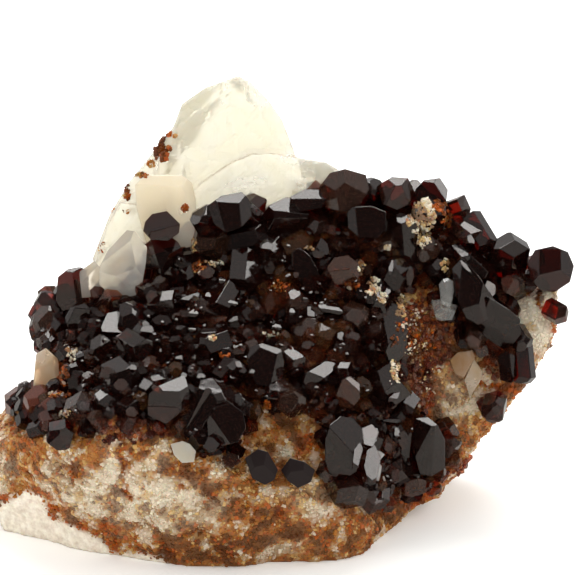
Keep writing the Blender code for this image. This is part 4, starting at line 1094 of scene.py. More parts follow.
def sugar_grains(fine_rock, material):
    """Thousands of tiny rhombs that make the rock granular, as two pieces, front and back."""
    corners, normals, areas = triangles_of(fine_rock)
    middles = corners.mean(axis=1)
    open_rock = 1.0 - np.maximum(crust_share(middles, normals), smooth_share(middles, normals))
    above_base = middles[:, 2] > 0.35
    front = (normals @ np.array(TOWARDS) > -0.25) & (middles[:, 1] < 10.0)
    for name, side, (count, small, large, seed) in (
            ("rock_grains_front", front, FRONT_GRAINS), ("rock_grains_back", ~front, BACK_GRAINS)):
        chance = np.random.default_rng(seed)
        points, ways = scatter(corners, normals, areas * side * above_base * open_rock, count,
                               chance)
        sizes = small + (large - small) * chance.random(count) ** 1.6
        keep = spaced(points, sizes * GRAIN_SPACING)
        points, ways, sizes = points[keep], ways[keep], sizes[keep]
        total = len(points)
        colours = pick_grains(colour_mix(points, ways), points, chance)
        lean = chance.normal(0.0, 0.8, (total, 3))
        spins = chance.uniform(0.0, 6.3, total)
        points = points - ways * (GRAIN_SUNK * sizes)[:, None]
        points[:, 2] = np.maximum(points[:, 2], GRAIN_WIDTH * sizes)
        grain_piece(name, points, ways + lean, spins, sizes, colours, material, chance)


def skin_of(pieces):
    """The pieces' faces together, in millimetres, to look up places on them."""
    points, polygons = [], []
    for piece in pieces:
        start = len(points)
        points += [vert.co / METRES for vert in piece.data.vertices]
        polygons += [[start + index for index in polygon.vertices]
                     for polygon in piece.data.polygons]
    return BVHTree.FromPolygons(points, polygons)


def sprinkle(name, pieces, clusters, material, seed):
    """Clusters of small grains wherever the line of sight meets the given pieces."""
    skin = skin_of(pieces)
    chance = np.random.default_rng(seed)
    found, ways, sizes, mixes = [], [], [], []
    for mix, right, down, half_width, half_height, count, small, large in clusters:
        for _ in range(count):
            angle = chance.uniform(0.0, 2.0 * math.pi)
            reach = math.sqrt(chance.random())
            sight = sight_to(right + reach * half_width * math.cos(angle),
                             down + reach * half_height * math.sin(angle))
            hit, normal, _, _ = skin.ray_cast(EYE, sight)
            size = small + (large - small) * chance.random() ** 2
            if hit is None or fine_noise([hit], 0.8, 3.0)[0] < 0.9 * reach - 0.75:
                continue
            found.append(hit + normal * 0.1 * size)
            ways.append(normal + Vector(chance.normal(0.0, 0.7, 3)))
            sizes.append(size)
            mixes.append(MIXES[mix])
    found = np.array(found)
    spins = chance.uniform(0.0, 6.3, len(found))
    colours = pick_grains(np.array(mixes), found, chance)
    grain_piece(name, found, np.array(ways), spins, np.array(sizes), colours, material, chance)


# ---------------------------------------------------------------- the uvites
UVITE_KINDS = 10
SMALL_SIZES = [  # name, tries, small, large, rise, margin, gap, habit, seed
    ("uvites_medium", 3600, 1.3, 2.5, 0.38, -0.25, 0.62, "black", 31),
    ("uvites_small", 7000, 0.7, 1.5, 0.30, 0.0, 0.66, "black", 32),
    ("uvites_tiny", 22000, 0.25, 0.8, 0.30, 0.05, 0.60, "sugar", 33),
]


def crystal_tone(index, right):
    """A tint for one crystal of the druse; more are red and brown towards the right."""
    for tone, chosen in TONES.items():
        if index in chosen:
            return tone
    warm = 0.35 + 0.25 * min(max((right - 24.0) / 20.0, 0.0), 1.0)
    roll = random.Random(1000 + index).random()
    for limit, tone in ((0.2, RED_BROWN), (0.5, BROWN), (1.0, DEEP_BROWN)):
        if roll <= limit * warm:
            return tone
    return BLACK


def large_uvites(surface, dark, light, dusty):
    """The crystals that make the druse's look, each faceted and lightly worn at its edges."""
    planes = []

    def crystal(place, tone, cut, size, seed):
        """A crystal in its place, cut face by face or else with the faces of the mineral."""
        if cut:
            body, faces = cut_body(place.translation.y, *cut)
            place = Matrix.Identity(4)
        else:
            faces = uvite_faces(*size, seed)
            body = soften(cleave(faces), EDGE_WEAR, 1)
        planes.append((place, faces))
        paint(body, tone).transform(place)
        return body

    def on_rock(values):
        right, down, width, _, heading, lean, spin, share = values
        return standing(surface, right, down, heading, lean, spin,
                        CRUST_THICKNESS + share * width)

    places = [values and on_rock(values) for values in UVITES]
    druse = [crystal(places[index], crystal_tone(index, values[0]), CUT_UVITES.get(index),
                     values[2:4], 100 + index)
             for index, values in enumerate(UVITES) if values]
    druse += [crystal(places[index], BLACK, cut, None, None) for index, *cut in PLATES]
    for index, (depth, right, down, width, length, *turns) in enumerate(CREST_UVITES):
        druse.append(crystal(placed(at_depth(right, down, depth), *turns), BLACK,
                             CUT_CREST.get(index), (width, length), 600 + index))
    ledge = [crystal(on_rock(values), LEDGE_TONES[index], None, values[2:4], 400 + index)
             for index, values in enumerate(LEDGE_UVITES)]
    pieces = [hand_over(name, as_mesh(name, gathered(bodies)), material, (node,))
              for name, bodies, material, node in (
                  ("uvites_druse", druse, dark, "uvite_druse"),
                  ("uvites_ledge", ledge, light, "uvite_druse_ledge"))]
    for index, (name, values) in enumerate(LONE_UVITES.items()):
        worn = name in CUT_LONE
        body = crystal(on_rock(values), DUSTY if worn else DEEP_BROWN, CUT_LONE.get(name),
                       values[2:4], 300 + index)
        hand_over(name.replace("uvite_crystal", "uvite_alone"), as_mesh(name, body),
                  dusty if worn else dark, (name,))
    return planes, pieces


def outside_all(points, planes, margin):
    """True for places that are not inside any of the large crystals."""
    free = np.ones(len(points), dtype=bool)
    for place, faces in planes:
        back = np.array(place.inverted())
        local = points @ back[:3, :3].T + back[:3, 3]
        within = np.ones(len(points), dtype=bool)
        for point, outward in faces:
            way = np.array(Vector(outward).normalized())
            within &= (local - np.array(point)) @ way < margin
        free &= ~within
    return free


def uvite_stamps(count, seed):
    """A few small uvites of unit width, to be repeated between the large ones."""
    return [Stamp(cleave(uvite_faces(1.0, random.Random(seed + index).uniform(0.7, 1.3),
                                     seed + index))) for index in range(count)]


def small_uvites(fine_rock, planes, dark, light):
    """Crystals of every smaller size, packed between and around the large ones."""
    corners, normals, areas = triangles_of(fine_rock)
    middles = corners.mean(axis=1)
    crust = crust_share(middles, normals)
    sweet = sugar_share(on_sheet(middles))
    covered = {"black": crust ** 2 * (1.0 - 0.95 * sweet),
               "sugar": crust ** 2 * 0.40 + sweet * in_view(middles, normals)}
    pieces = []
    for name, count, small, large, rise, margin, gap, habit, seed in SMALL_SIZES:
        chance = np.random.default_rng(seed)
        stamps = uvite_stamps(UVITE_KINDS, seed * 10)
        points, ways = scatter(corners, normals, areas * covered[habit], count, chance)
        sizes = small + (large - small) * chance.random(count) ** 1.5
        keep = outside_all(points + ways * (rise * sizes)[:, None], planes, margin)
        points, ways, sizes = points[keep], ways[keep], sizes[keep]
        keep = spaced(points, sizes * gap)
        points, ways, sizes = points[keep], ways[keep], sizes[keep]
        total = len(points)
        lean = chance.normal(0.0, 0.85, (total, 3))
        lengths = sizes * chance.uniform(0.6, 1.5, total)
        places = turned_to(ways + lean, chance.uniform(0.0, 6.3, total), sizes, lengths)
        places[:, :3, 1] *= chance.uniform(0.55, 1.05, (total, 1))
        places[:, :3, 3] = points + ways * (rise * sizes)[:, None]
        seen = on_sheet(points)
        warm = np.clip(0.48 + 0.5 * fine_noise(points, 5.0, 2.0) + 0.012 * (seen[:, 0] - 24.0)
                       + 0.8 * sugar_share(seen), 0.08, 1.0)
        roll = chance.random(total)
        tints = np.zeros((total, 4))
        tints[:, :3] = BLACK
        for limit, tone in ((1.0, DEEP_BROWN), (0.70, BROWN), (0.42, RED_BROWN), (0.22, AMBER)):
            tints[roll < warm * limit, :3] = tone
        tints[:, :3] *= chance.uniform(0.8, 1.1, (total, 1))
        kinds = chance.integers(0, len(stamps), total)
        mesh = stamped(name, stamps, kinds, places, np.clip(tints, 0.0, 1.0))
        pieces.append(hand_over(name, mesh, dark if habit == "black" else light))
    return pieces


def sparks(skin, large):
    """Tiny flat-faced crystals, scattered over the druse between its large ones."""
    chance = random.Random(7)
    found = []
    while len(found) < SPARKS:
        right, down = chance.uniform(40.0, 530.0), chance.uniform(195.0, 495.0)
        place = (right / TENTHS, down / TENTHS)
        if inside_by(np.array([place]), DRUSE_OUTLINE)[0] < 0.4:
            continue
        hit, over = met_by(skin, *place), met_by(large, *place)
        if hit is not None and (over is None or (over - hit).length > 0.2):
            found.append((right, down, chance.uniform(1.0, 2.6), chance.uniform(0.8, 1.8),
                          chance.uniform(-60.0, 60.0), chance.choice(SPARK_FACES)))
    return found


def flash_bodies(skin, large):
    """Small flat-faced crystals lying on the druse, turned to catch the light."""
    bodies = []
    for index, (right, down, half_width, half_height, turn, face) in enumerate(
            FLASHES + sparks(skin, large)):
        chance = random.Random(700 + index)
        hit = met_by(skin, right / TENTHS, down / TENTHS)
        if hit is None:
            continue
        angle = math.radians(-turn)
        outline = []
        for corner in range(6):
            way = math.radians(60.0 * corner + chance.uniform(-16.0, 16.0))
            across = 1.1 * half_width * math.cos(way)
            along = 1.1 * half_height * math.sin(way)
            outline.append((right + across * math.cos(angle) - along * math.sin(angle),
                            down + across * math.sin(angle) + along * math.cos(angle)))
        fall_right, fall_up = [fall + chance.uniform(-0.06, 0.06) for fall in FLASH_FALLS[face]]
        height = 0.25 + 0.02 * (half_width + half_height)
        body, _ = cut_body(hit.y, outline, [
            (right, down, height, fall_right, fall_up),
            (right, down + 0.75 * half_height, height + 0.03 * half_height, fall_right - 0.2,
             fall_up - 1.3)])
        bodies.append(paint(body, DEEP_BROWN if face == "grey" else BLACK))
    for outline, faces, tone in STANDING_OUT:
        hit = met_by(skin, faces[0][0] / TENTHS, faces[0][1] / TENTHS)
        body, _ = cut_body(hit.y, outline, faces)
        bodies.append(paint(body, {"black": BLACK, "brown": BROWN, "red": RED_BROWN}[tone]))
    return bodies


# ---------------------------------------------------------------- pale crystals
# The bodies of the pale crystals: outline, near and far depth, faces that trim the edges
RHOMBS = {
    "tall": (
        [(17.0, 13.6), (18.2, 10.4), (20.5, 8.8), (23.8, 7.6), (25.0, 8.2), (26.8, 10.0),
         (28.2, 12.0), (29.4, 15.0), (29.8, 23.0), (17.0, 23.0)],
        9.6, 15.6,
        [((22.0, 9.6, 9.6), (-0.35, -0.85, 0.40)), ((26.6, 12.0, 9.6), (0.62, -0.70, 0.36)),
         ((20.0, 12.0, 15.2), (-0.60, 0.70, 0.38)), ((25.0, 9.0, 15.2), (0.40, 0.80, 0.46))],
    ),
    "flank": (
        [(18.2, 13.0), (17.2, 12.9), (13.0, 18.1), (11.0, 21.4), (9.2, 26.0), (12.0, 28.0),
         (18.4, 24.0)],
        8.2, 13.0,
        [((13.4, 21.5, 8.2), (-0.30, -0.88, 0.36)), ((11.6, 20.6, 13.0), (-0.62, 0.66, 0.42))],
    ),
    "middle": (
        [(15.6, 16.0), (17.6, 13.7), (20.0, 14.1), (24.4, 15.0), (25.4, 18.0), (22.0, 22.0),
         (16.0, 22.0)],
        8.8, 12.4,
        [((20.0, 16.2, 8.8), (0.10, -0.80, 0.60)), ((24.6, 16.4, 9.0), (0.70, -0.60, 0.40))],
    ),
    "wedge": (
        [(19.2, 17.8), (23.2, 16.2), (24.4, 15.4), (27.0, 15.3), (33.0, 16.3), (35.0, 17.8),
         (34.6, 24.0), (20.0, 24.0)],
        7.6, 12.0,
        [((28.6, 17.4, 7.6), (0.35, -0.80, 0.50)), ((22.0, 17.6, 7.6), (-0.45, -0.75, 0.50)),
         ((30.0, 17.6, 12.0), (0.30, 0.86, 0.42))],
    ),
    "foot": (
        [(12.0, 20.2), (13.8, 20.5), (15.6, 22.6), (15.6, 27.0), (9.0, 28.0), (10.7, 22.6)],
        5.6, 11.0,
        [((11.6, 24.0, 5.6), (-0.50, -0.80, 0.36))],
    ),
    "block": (
        [(13.5, 18.5), (14.5, 17.5), (18.2, 17.5), (19.2, 18.3), (19.6, 20.4), (19.4, 24.6),
         (15.0, 25.6), (13.7, 21.0)],
        5.4, 9.6,
        [((16.4, 18.6, 5.4), (0.05, -0.62, 0.78)), ((19.0, 20.4, 5.4), (0.72, -0.62, 0.30))],
    ),
    "grey": (
        [(9.8, 27.0), (10.8, 25.0), (12.7, 23.0), (13.9, 23.3), (14.8, 24.8), (14.9, 27.0),
         (14.0, 29.6), (11.2, 29.8), (9.9, 28.4)],
        0.6, 6.2,
        [((11.4, 25.6, 0.6), (-0.55, -0.74, 0.38)), ((14.2, 25.0, 0.6), (0.66, -0.66, 0.36)),
         ((13.0, 28.4, 0.6), (0.20, -0.90, -0.36)), ((12.4, 24.6, 6.2), (-0.20, 0.80, 0.56))],
    ),
    "chip": (
        [(7.9, 27.2), (9.4, 26.1), (10.3, 27.0), (10.2, 29.6), (8.2, 29.8)],
        2.6, 6.4,
        [((8.8, 27.6, 2.6), (-0.52, -0.72, 0.46))],
    ),
    "left": (
        [(3.6, 35.4), (4.6, 34.8), (5.8, 35.9), (6.0, 38.4), (4.8, 39.6), (3.3, 38.9)],
        -3.4, 2.4,
        [((4.6, 36.4, -3.4), (-0.30, -0.82, 0.48)), ((5.6, 37.8, -3.4), (0.66, -0.74, 0.10))],
    ),
}
SPUR_PARTS = ("tall", "flank", "middle", "wedge", "foot")
SPUR_VOXEL = 0.30
CLEAVAGE_WAYS = [Vector(way).normalized() for way in (
    (0.86, -0.30, 0.40), (-0.50, -0.75, 0.43), (-0.20, 0.55, 0.81))]
STEP_WIDTH = 2.4
STEP_DEPTH = 0.12
# The greyish crystal: its depth, outline and faces
GREY_DEPTH = 3.4
CUT_GREY = ([(127, 230), (135, 231), (147, 247), (146, 262), (141, 290), (136, 296), (112, 297),
             (99, 284), (100, 266), (108, 250)],
            [(131, 240, 2.4, 0.25, 0.55), (115, 250, 2.0, -0.45, 0.35), (138, 262, 2.5, 0.55, 0.05),
             (121, 274, 2.8, -0.12, -0.08), (110, 290, 2.2, -0.3, -0.7)])
# Small rhombs with all their faces alike: (right, down) of the middle, edge, heading and lean
# of the tip, spin, and the share of the edge that stands out of the rock
NOSE_RHOMBS = [
    (36.6, 43.6, 1.5, 110, 60, 10, 1.50), (37.1, 45.4, 1.5, 80, 50, 30, 1.50),
    (36.9, 47.2, 1.7, 300, 40, 15, 1.30),
]
CUT_RHOMBS = {  # by group: outline, faces, tint
    "cream": [([(170.6, 444), (182.5, 441), (190, 444), (196, 451), (194, 462), (182, 463),
                (174, 455)], [(183, 452, 0.9, 0.05, 0.05)], srgb(232, 224, 202))],
    "flank": [
        ([(450, 360), (457.5, 352.5), (472.5, 350), (475, 357.5), (464, 377.5), (455, 374)],
         [(462, 362, 1.2, -0.25, 0.1)], srgb(186, 142, 88)),
        ([(473.8, 358.8), (481, 369), (482.5, 377.5), (470, 397.5), (464.4, 380)],
         [(473, 377, 1.4, 0.2, -0.1)], srgb(202, 172, 130)),
        ([(484, 336), (490, 345), (506, 351), (497, 343)],
         [(494, 344, 1.2, 0.1, 0.2)], srgb(240, 222, 192)),
    ],
}
CLEAR_MIDDLE = (44.5, 30.0)
CLEAR_PARTS = [  # outline, faces
    ([(439, 284), (443, 279), (447, 277.5), (452.5, 281), (455, 286), (454, 291), (455, 303),
      (448, 308), (441, 303)],
     [(443, 290, 2.5, -0.7, 0.15), (450, 290, 2.5, 0.5, 0.25), (447, 282, 2.2, 0.0, 0.9)]),
    ([(431, 301), (436, 297), (441, 299), (453, 297), (458, 305.6), (452, 320), (441, 321),
      (436, 319)],
     [(436, 307, 2.2, -0.8, 0.3), (445, 306, 2.4, 0.1, 0.4), (447, 314, 2.2, 0.15, -0.9),
      (454, 308, 2.1, 0.9, 0.1)]),
]


def cleaved_steps(body):
    """Press shallow steps into a skin along the cleavage directions."""
    body.normal_update()
    moves = []
    for vert in body.verts:
        move = Vector()
        for index, direction in enumerate(CLEAVAGE_WAYS):
            level = vert.co.dot(direction) / STEP_WIDTH
            wander = noise.noise(vert.co / 2.6 + Vector((index * 7.0, 0.0, 0.0)))
            edge = (level + 0.9 * wander) % 1.0
            move += vert.normal * STEP_DEPTH * (min(edge, 0.25) / 0.25 - 1.0) * 0.5
        moves.append(move)
    for vert, move in zip(body.verts, moves):
        vert.co += move


def pale_crystals(surface, milky, creamy, greyish):
    """The spur and the milky crystals around the druse; gives back those behind its crest."""
    spur = bmesh.new()
    spur.from_mesh(remeshed(joined([slab(*RHOMBS[name]) for name in SPUR_PARTS]), SPUR_VOXEL))
    cleaved_steps(spur)
    mesh = as_mesh("pale_spur", paint(spur, srgb(253, 246, 224)))
    mesh.shade_flat()
    pieces = [hand_over("pale_spur", mesh, milky, ("magnesite_spur",))]
    for name, body, tint, look in (
            ("grey", soften(cut_body(GREY_DEPTH, *CUT_GREY)[0], 0.05, 1), (232, 226, 214), greyish),
            ("chip", soften(slab(*RHOMBS["chip"]), 0.05), (236, 224, 204), greyish),
            ("left", soften(slab(*RHOMBS["left"]), 0.10), (232, 200, 160), creamy),
            ("block", soften(slab(*RHOMBS["block"]), 0.16), (252, 238, 214), creamy)):
        mesh = as_mesh("pale_" + name, paint(body, srgb(*tint)))
        pieces.append(hand_over("pale_" + name, mesh, look,
                                ("magnesite_crystal_" + name,)))
    groups = {}
    for name, cuts in CUT_RHOMBS.items():
        groups[name] = []
        for outline, faces, tint in cuts:
            hit = met_by(surface, faces[0][0] / TENTHS, faces[0][1] / TENTHS)
            groups[name].append(paint(soften(cut_body(hit.y, outline, faces)[0], 0.04, 1), tint))
    groups["nose"] = []
    for right, down, edge, heading, lean, spin, share in NOSE_RHOMBS:
        body = slanted_cube(edge)
        body.transform(standing(surface, right, down, heading, lean, spin, share * edge))
        bmesh.ops.recalc_face_normals(body, faces=body.faces)
        groups["nose"].append(paint(soften(body, 0.07), srgb(214, 206, 198)))
    for name, bodies in groups.items():
        hand_over("rhombs_" + name, as_mesh("rhombs_" + name, gathered(bodies)), milky,
                  ("magnesite_rhomb_" + name,))
    return pieces


def clear_crystal(surface, clear):
    """The colourless crystal: a shaft over a wide notched foot, all grown together."""
    depth = met_by(surface, *CLEAR_MIDDLE).y - CRUST_THICKNESS
    bodies = [cut_body(depth, outline, faces)[0] for outline, faces in CLEAR_PARTS]
    hand_over("crystal_clear", as_mesh("crystal_clear", gathered(bodies)), clear,
              ("clear_crystal",))


# ---------------------------------------------------------------- materials
class Nodes:
    """A tree of shader nodes under construction, with short ways to add and join them."""

    def __init__(self, tree):
        self.tree = tree

    def feed(self, socket, value):
        """Give an input a value of its own or the output of another node."""
        if isinstance(value, bpy.types.NodeSocket):
            self.tree.links.new(value, socket)
        else:
            socket.default_value = value

    def node(self, kind, inputs=None, **settings):
        """Add a node with its settings, and feed its inputs by name or place."""
        made = self.tree.nodes.new(kind)
        for key, value in settings.items():
            setattr(made, key, value)
        for key, value in (inputs or {}).items():
            self.feed(made.inputs[key], value)
        return made

    def place(self):
        return self.node("ShaderNodeTexCoord").outputs["Object"]

    def noise(self, scale, detail, roughness, distortion=0.0):
        return self.node("ShaderNodeTexNoise", {
            "Vector": self.place(), "Scale": scale, "Detail": detail, "Roughness": roughness,
            "Distortion": distortion}).outputs["Fac"]

    def span(self, value, low, high, start=0.0, end=1.0):
        """Stretch a value so that start to end becomes low to high."""
        return self.node("ShaderNodeMapRange", {
            "Value": value, "From Min": start, "From Max": end, "To Min": low,
            "To Max": high}).outputs["Result"]

    def mix(self, factor, first, second, blend="MIX"):
        return self.node("ShaderNodeMix", {"Factor": factor, 6: first, 7: second},
                         data_type="RGBA", blend_type=blend).outputs[2]

    def fade(self, factor, first, second):
        """The same as mix, for numbers."""
        return self.node("ShaderNodeMix", {"Factor": factor, "A": first,
                                           "B": second}).outputs["Result"]

    def figure(self, operation, *values):
        return self.node("ShaderNodeMath", dict(enumerate(values)),
                         operation=operation).outputs[0]

    def bump(self, height, strength, distance):
        return self.node("ShaderNodeBump", {"Height": height, "Strength": strength,
                                            "Distance": distance}).outputs["Normal"]

    def mirrored(self, rays):
        """1 on rays that a polished face throws back, 0 on all others."""
        return self.figure("MULTIPLY", rays["Is Glossy Ray"], rays["Is Reflection Ray"])


class Effect(Nodes):
    """A group of nodes for an effect that several materials share."""

    def __init__(self, name, inputs, outputs):
        super().__init__(bpy.data.node_groups.new(name, "ShaderNodeTree"))
        for side, sockets in (("INPUT", inputs), ("OUTPUT", outputs)):
            for label, kind in sockets.items():
                self.tree.interface.new_socket(label, in_out=side, socket_type=kind)
        self.given = self.node("NodeGroupInput").outputs
        self.results = self.node("NodeGroupOutput").inputs


class Finish(Nodes):
    """A material under construction."""

    def __init__(self, name):
        self.material = bpy.data.materials.new(name)
        self.material.use_nodes = True
        super().__init__(self.material.node_tree)
        self.shader = self.tree.nodes["Principled BSDF"]

    def tint(self):
        """The colour painted on each crystal or grain, and the number beside it."""
        return self.node("ShaderNodeAttribute", attribute_name="tint").outputs

    def effect(self, shared, values):
        """Place a shared effect with this material's own values."""
        return self.node("ShaderNodeGroup", values, node_tree=shared.tree).outputs

    def set(self, **values):
        for key, value in values.items():
            self.feed(self.shader.inputs[key.replace("_", " ")], value)


COLOUR = "NodeSocketColor"
VALUE = "NodeSocketFloat"
VECTOR = "NodeSocketVector"


def stone_mottle():
    """Stains over the painted colour of the stone; also gives the mottle they follow."""
    effect = Effect("stone_mottle",
                    {"Tint": COLOUR, "Stain": COLOUR, "Strength": VALUE, "Start": VALUE,
                     "End": VALUE, "Scale": VALUE, "Detail": VALUE, "Roughness": VALUE},
                    {"Colour": COLOUR, "Mottle": VALUE})
    given, results = effect.given, effect.results
    mottle = effect.noise(given["Scale"], given["Detail"], given["Roughness"])
    share = effect.span(mottle, 0.0, given["Strength"], given["Start"], given["End"])
    stained = effect.mix(1.0, given["Tint"], given["Stain"], "MULTIPLY")
    effect.feed(results["Colour"], effect.mix(share, given["Tint"], stained))
    effect.feed(results["Mottle"], mottle)
    return effect


def uvite_skin():
    """Slight wear and swell of a glossy face."""
    effect = Effect("uvite_skin", {"Roughness": VALUE}, {"Roughness": VALUE, "Normal": VECTOR})
    polished = effect.given["Roughness"]
    worn = effect.span(effect.noise(2200.0, 3.0, 0.6), polished,
                       effect.figure("ADD", polished, 0.12), 0.5, 0.85)
    effect.feed(effect.results["Roughness"], worn)
    effect.feed(effect.results["Normal"],
                effect.bump(effect.noise(420.0, 2.0, 0.5), 0.12, 0.00010))
    return effect


def milky_depth():
    """Cloudy bands and healed cracks of a milky crystal."""
    effect = Effect("milky_depth", {"Tint": COLOUR, "Cloud": VALUE, "Roughness": VALUE},
                    {"Colour": COLOUR, "Roughness": VALUE, "Normal": VECTOR})
    given, results = effect.given, effect.results
    clouds = effect.noise(260.0, 4.0, 0.6, 0.6)
    effect.feed(results["Colour"], effect.mix(effect.span(clouds, 0.0, given["Cloud"], 0.4, 0.75),
                                              given["Tint"], MILK))
    effect.feed(results["Roughness"],
                effect.span(clouds, given["Roughness"],
                            effect.figure("ADD", given["Roughness"], 0.2), 0.35, 0.75))
    effect.feed(results["Normal"],
                effect.bump(effect.noise(700.0, 4.0, 0.65, 1.2), 0.14, 0.00014))
    return effect


MILK = (0.95, 0.95, 0.94, 1.0)
DUST = (*srgb(34, 28, 28), 1.0)
INSIDE_UVITE = (0.75, 0.22, 0.0, 1.0)
ROCK_STAIN = (0.42, 0.30, 0.22, 1.0)
GRAIN_STAIN = (0.62, 0.42, 0.26, 1.0)
CLEAR_TINT = (0.90, 0.88, 0.82, 1.0)
CLEAR_VEIL = (0.45, 0.43, 0.38, 1.0)
STONE_MOTTLE = stone_mottle()
UVITE_SKIN = uvite_skin()
MILKY_DEPTH = milky_depth()


def uvite_finish(name, roughness, deep=0.0, dust=0.0, shine=0.85, clear=0.97):
    """Very glossy crystal, clear red-brown inside, so that thick ones are almost black."""
    finish = Finish(name)
    colour = finish.tint()["Color"]
    if dust:
        specks = finish.span(finish.noise(3200.0, 4.0, 0.7), 0.0, dust, 0.50, 0.72)
        colour = finish.mix(specks, colour, DUST)
    skin = finish.effect(UVITE_SKIN, {"Roughness": roughness})
    finish.set(Base_Color=colour, Roughness=skin["Roughness"], Normal=skin["Normal"], IOR=1.63,
               Specular_Tint=(shine, 0.97 * shine, 0.93 * shine, 1.0))
    if deep:
        finish.set(Transmission_Weight=clear)
        inside = finish.node("ShaderNodeVolumeAbsorption",
                             {"Color": INSIDE_UVITE, "Density": deep})
        finish.feed(finish.tree.nodes["Material Output"].inputs["Volume"],
                    inside.outputs["Volume"])
    return finish.material


def rock_finish():
    """Granular stone with a fine grit."""
    finish = Finish("granular_magnesite")
    stone = finish.effect(STONE_MOTTLE, {
        "Tint": finish.tint()["Color"], "Stain": ROCK_STAIN, "Strength": 0.6, "Start": 0.35,
        "End": 0.75, "Scale": 1500.0, "Detail": 4.0, "Roughness": 0.65})
    cells = finish.node("ShaderNodeTexVoronoi", {"Vector": finish.place(), "Scale": 2600.0})
    finish.set(Base_Color=stone["Colour"], Roughness=finish.span(stone["Mottle"], 0.30, 0.62),
               Normal=finish.bump(cells.outputs["Distance"], 0.5, 0.00012), IOR=1.6,
               Specular_IOR_Level=0.18, Subsurface_Weight=0.15, Subsurface_Scale=0.0006)
    return finish.material


def grain_finish():
    """Small pieces of magnesite, some of them glossier than others."""
    finish = Finish("magnesite_grains")
    tint = finish.tint()
    stone = finish.effect(STONE_MOTTLE, {
        "Tint": tint["Color"], "Stain": GRAIN_STAIN, "Strength": 0.35, "Start": 0.4,
        "End": 0.7, "Scale": 3000.0, "Detail": 2.0, "Roughness": 0.6})
    finish.set(Base_Color=stone["Colour"], Roughness=finish.span(tint["Alpha"], 0.12, 0.5),
               IOR=1.65, Specular_IOR_Level=0.2, Subsurface_Weight=0.2,
               Subsurface_Scale=0.0004)
    return finish.material


def crystal_finish(name, roughness, see_through, cloud, painted_glow):
    """Milky magnesite: partly see-through, with cloudy bands and healed cracks inside, and a painted
    glow in its own tint that stands in for light shining through it.
    """
    finish = Finish(name)
    tint = finish.tint()["Color"]
    milky = finish.effect(MILKY_DEPTH, {"Tint": tint, "Cloud": cloud, "Roughness": roughness})
    # painted glow: emission in the crystal's own tint stands in for light shining through it
    finish.set(Base_Color=milky["Colour"], Roughness=milky["Roughness"], Normal=milky["Normal"],
               IOR=1.55, Transmission_Weight=see_through, Subsurface_Weight=0.5,
               Subsurface_Scale=0.0015, Subsurface_Radius=(1.0, 0.9, 0.8),
               Emission_Color=tint, Emission_Strength=painted_glow)
    return finish.material


def clear_finish():
    """Colourless crystal with a few veils in it."""
    finish = Finish("clear_crystal")
    veils = finish.noise(900.0, 3.0, 0.6, 1.0)
    finish.set(Base_Color=finish.mix(finish.span(veils, 0.0, 0.35, 0.55, 0.7), CLEAR_TINT,
                                     CLEAR_VEIL),
               Roughness=finish.span(veils, 0.02, 0.2, 0.45, 0.8),
               Normal=finish.bump(veils, 0.12, 0.0001), IOR=1.6, Transmission_Weight=0.86)
    return finish.material


# ---------------------------------------------------------------- studio
FLOOR_RADIUS = 900.0
FLOOR_PAPER = ((0.93, 0.93, 0.92, 1.0), (0.96, 0.96, 0.95, 1.0))
FLOOR_MIRRORED = (0.46, 0.45, 0.42, 1.0)
FLOOR_GLOW = (0.20, 0.195, 0.18, 1.0)
SURROUND_FRONT = 0.06
SURROUND_BACK = 0.7
SURROUND_SOFT = 1.05
SURROUND_WHITE = (1.0, 0.995, 0.985, 1.0)
SOFT_BOXES = [  # name, place, size, power: metres and watts
    ("box_overhead", (0.05, 0.20, 0.46), (0.34, 0.26), 1.5),
    ("box_left", (-0.42, 0.05, 0.26), (0.16, 0.24), 0.14),
    ("box_right", (0.42, 0.10, 0.31), (0.15, 0.20), 0.36),
]
BOXES_AIM = Vector((0.0, 0.0, 0.015))
FILM_WIDTH = 36.0


def lay_floor():
    """A sheet of pale paper, duller in the mirror of the crystals than to the eye."""
    paper = Finish("floor_paper")
    pale = paper.mix(paper.noise(40.0, 3.0, 0.5), *FLOOR_PAPER)
    rays = paper.node("ShaderNodeLightPath").outputs
    paper.set(Base_Color=paper.mix(paper.mirrored(rays), pale, FLOOR_MIRRORED), Roughness=0.9,
              Emission_Color=FLOOR_GLOW, Emission_Strength=rays["Is Camera Ray"])
    floor = bmesh.new()
    bmesh.ops.create_circle(floor, cap_ends=True, segments=64, radius=FLOOR_RADIUS)
    sheet = as_mesh("floor", floor)
    sheet.materials.append(paper.material)
    linked("floor", sheet)


def hang_surround():
    """A white surround, darker on the viewer's side where the crystals reflect it."""
    world = bpy.data.worlds.new("surround")
    bpy.context.scene.world = world
    world.use_nodes = True
    sky = Nodes(world.node_tree)
    where = sky.node("ShaderNodeTexCoord").outputs["Generated"]
    split = sky.node("ShaderNodeSeparateXYZ", {"Vector": where}).outputs
    rise = sky.figure("MULTIPLY_ADD", split["Z"], 0.5, split["Y"])
    front = sky.span(rise, SURROUND_FRONT, SURROUND_BACK, -0.50, 0.15)
    rays = sky.node("ShaderNodeLightPath").outputs
    soft = sky.fade(sky.mirrored(rays), SURROUND_SOFT, front)
    back = sky.tree.nodes["Background"]
    sky.feed(back.inputs["Strength"], sky.fade(rays["Is Camera Ray"], soft, 1.0))
    sky.feed(back.inputs["Color"], SURROUND_WHITE)


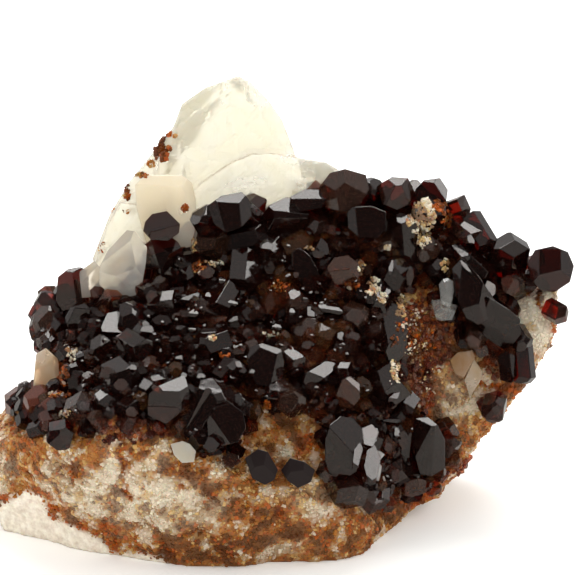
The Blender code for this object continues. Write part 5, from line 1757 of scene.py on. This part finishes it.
def studio():
    """Floor, surround, soft boxes and camera."""
    scene = bpy.context.scene
    scene.view_settings.view_transform = "Standard"
    lay_floor()
    hang_surround()
    for name, place, size, power in SOFT_BOXES:
        lamp = bpy.data.lights.new(name, "AREA")
        lamp.shape = "RECTANGLE"
        lamp.size, lamp.size_y = size
        lamp.energy = power
        box = linked(name, lamp)
        box.location = place
        aim = BOXES_AIM - Vector(place)
        box.rotation_euler = aim.to_track_quat("-Z", "Y").to_euler()

    lens = bpy.data.cameras.new("camera")
    lens.sensor_width = FILM_WIDTH
    lens.lens = FILM_WIDTH * EYE_DISTANCE / SHEET_SIDE
    lens.clip_start = 0.01
    lens.clip_end = 10.0
    camera = linked("camera", lens)
    camera.location = EYE * METRES
    camera.rotation_euler = (-TOWARDS).to_track_quat("-Z", "Y").to_euler()
    scene.camera = camera


# ---------------------------------------------------------------- the specimen
rock_look = rock_finish()
plain_rock, rock = broken_rock(rock_look)
grain_look = grain_finish()
sugar_grains(rock.data, grain_look)
uvite_look = uvite_finish("uvite", 0.04, deep=2800.0)
small_look = uvite_finish("uvite_small", 0.06, deep=1000.0, shine=0.5, clear=0.86)
packed_look = uvite_finish("uvite_packed", 0.05, deep=2200.0, shine=0.4)
planes, crystals = large_uvites(plain_rock, uvite_look,
                                uvite_finish("uvite_ledge", 0.05, deep=650.0, shine=0.6,
                                             clear=0.7),
                                uvite_finish("uvite_dusty", 0.34, dust=0.3, shine=0.25))
large_skin = skin_of(crystals)
crystals += small_uvites(rock.data, planes, packed_look, small_look)
flashes = as_mesh("uvites_bright_faced",
                  gathered(flash_bodies(skin_of(crystals + [rock]), large_skin)))
crystals.append(hand_over("uvites_bright_faced", flashes, uvite_look))
sprinkle("grains_on_druse", crystals + [rock], ON_DRUSE, grain_look, 41)
# the last number of each pale finish is the strength of its painted glow
pale = pale_crystals(plain_rock, crystal_finish("milky_magnesite", 0.14, 0.55, 0.5, 0.04),
                     crystal_finish("creamy_magnesite", 0.16, 0.6, 0.4, 0.09),
                     crystal_finish("greyish_magnesite", 0.08, 0.80, 0.6, 0.07))
sprinkle("grains_on_pale", pale, ON_PALE, grain_look, 42)
clear_crystal(plain_rock, clear_finish())
studio()
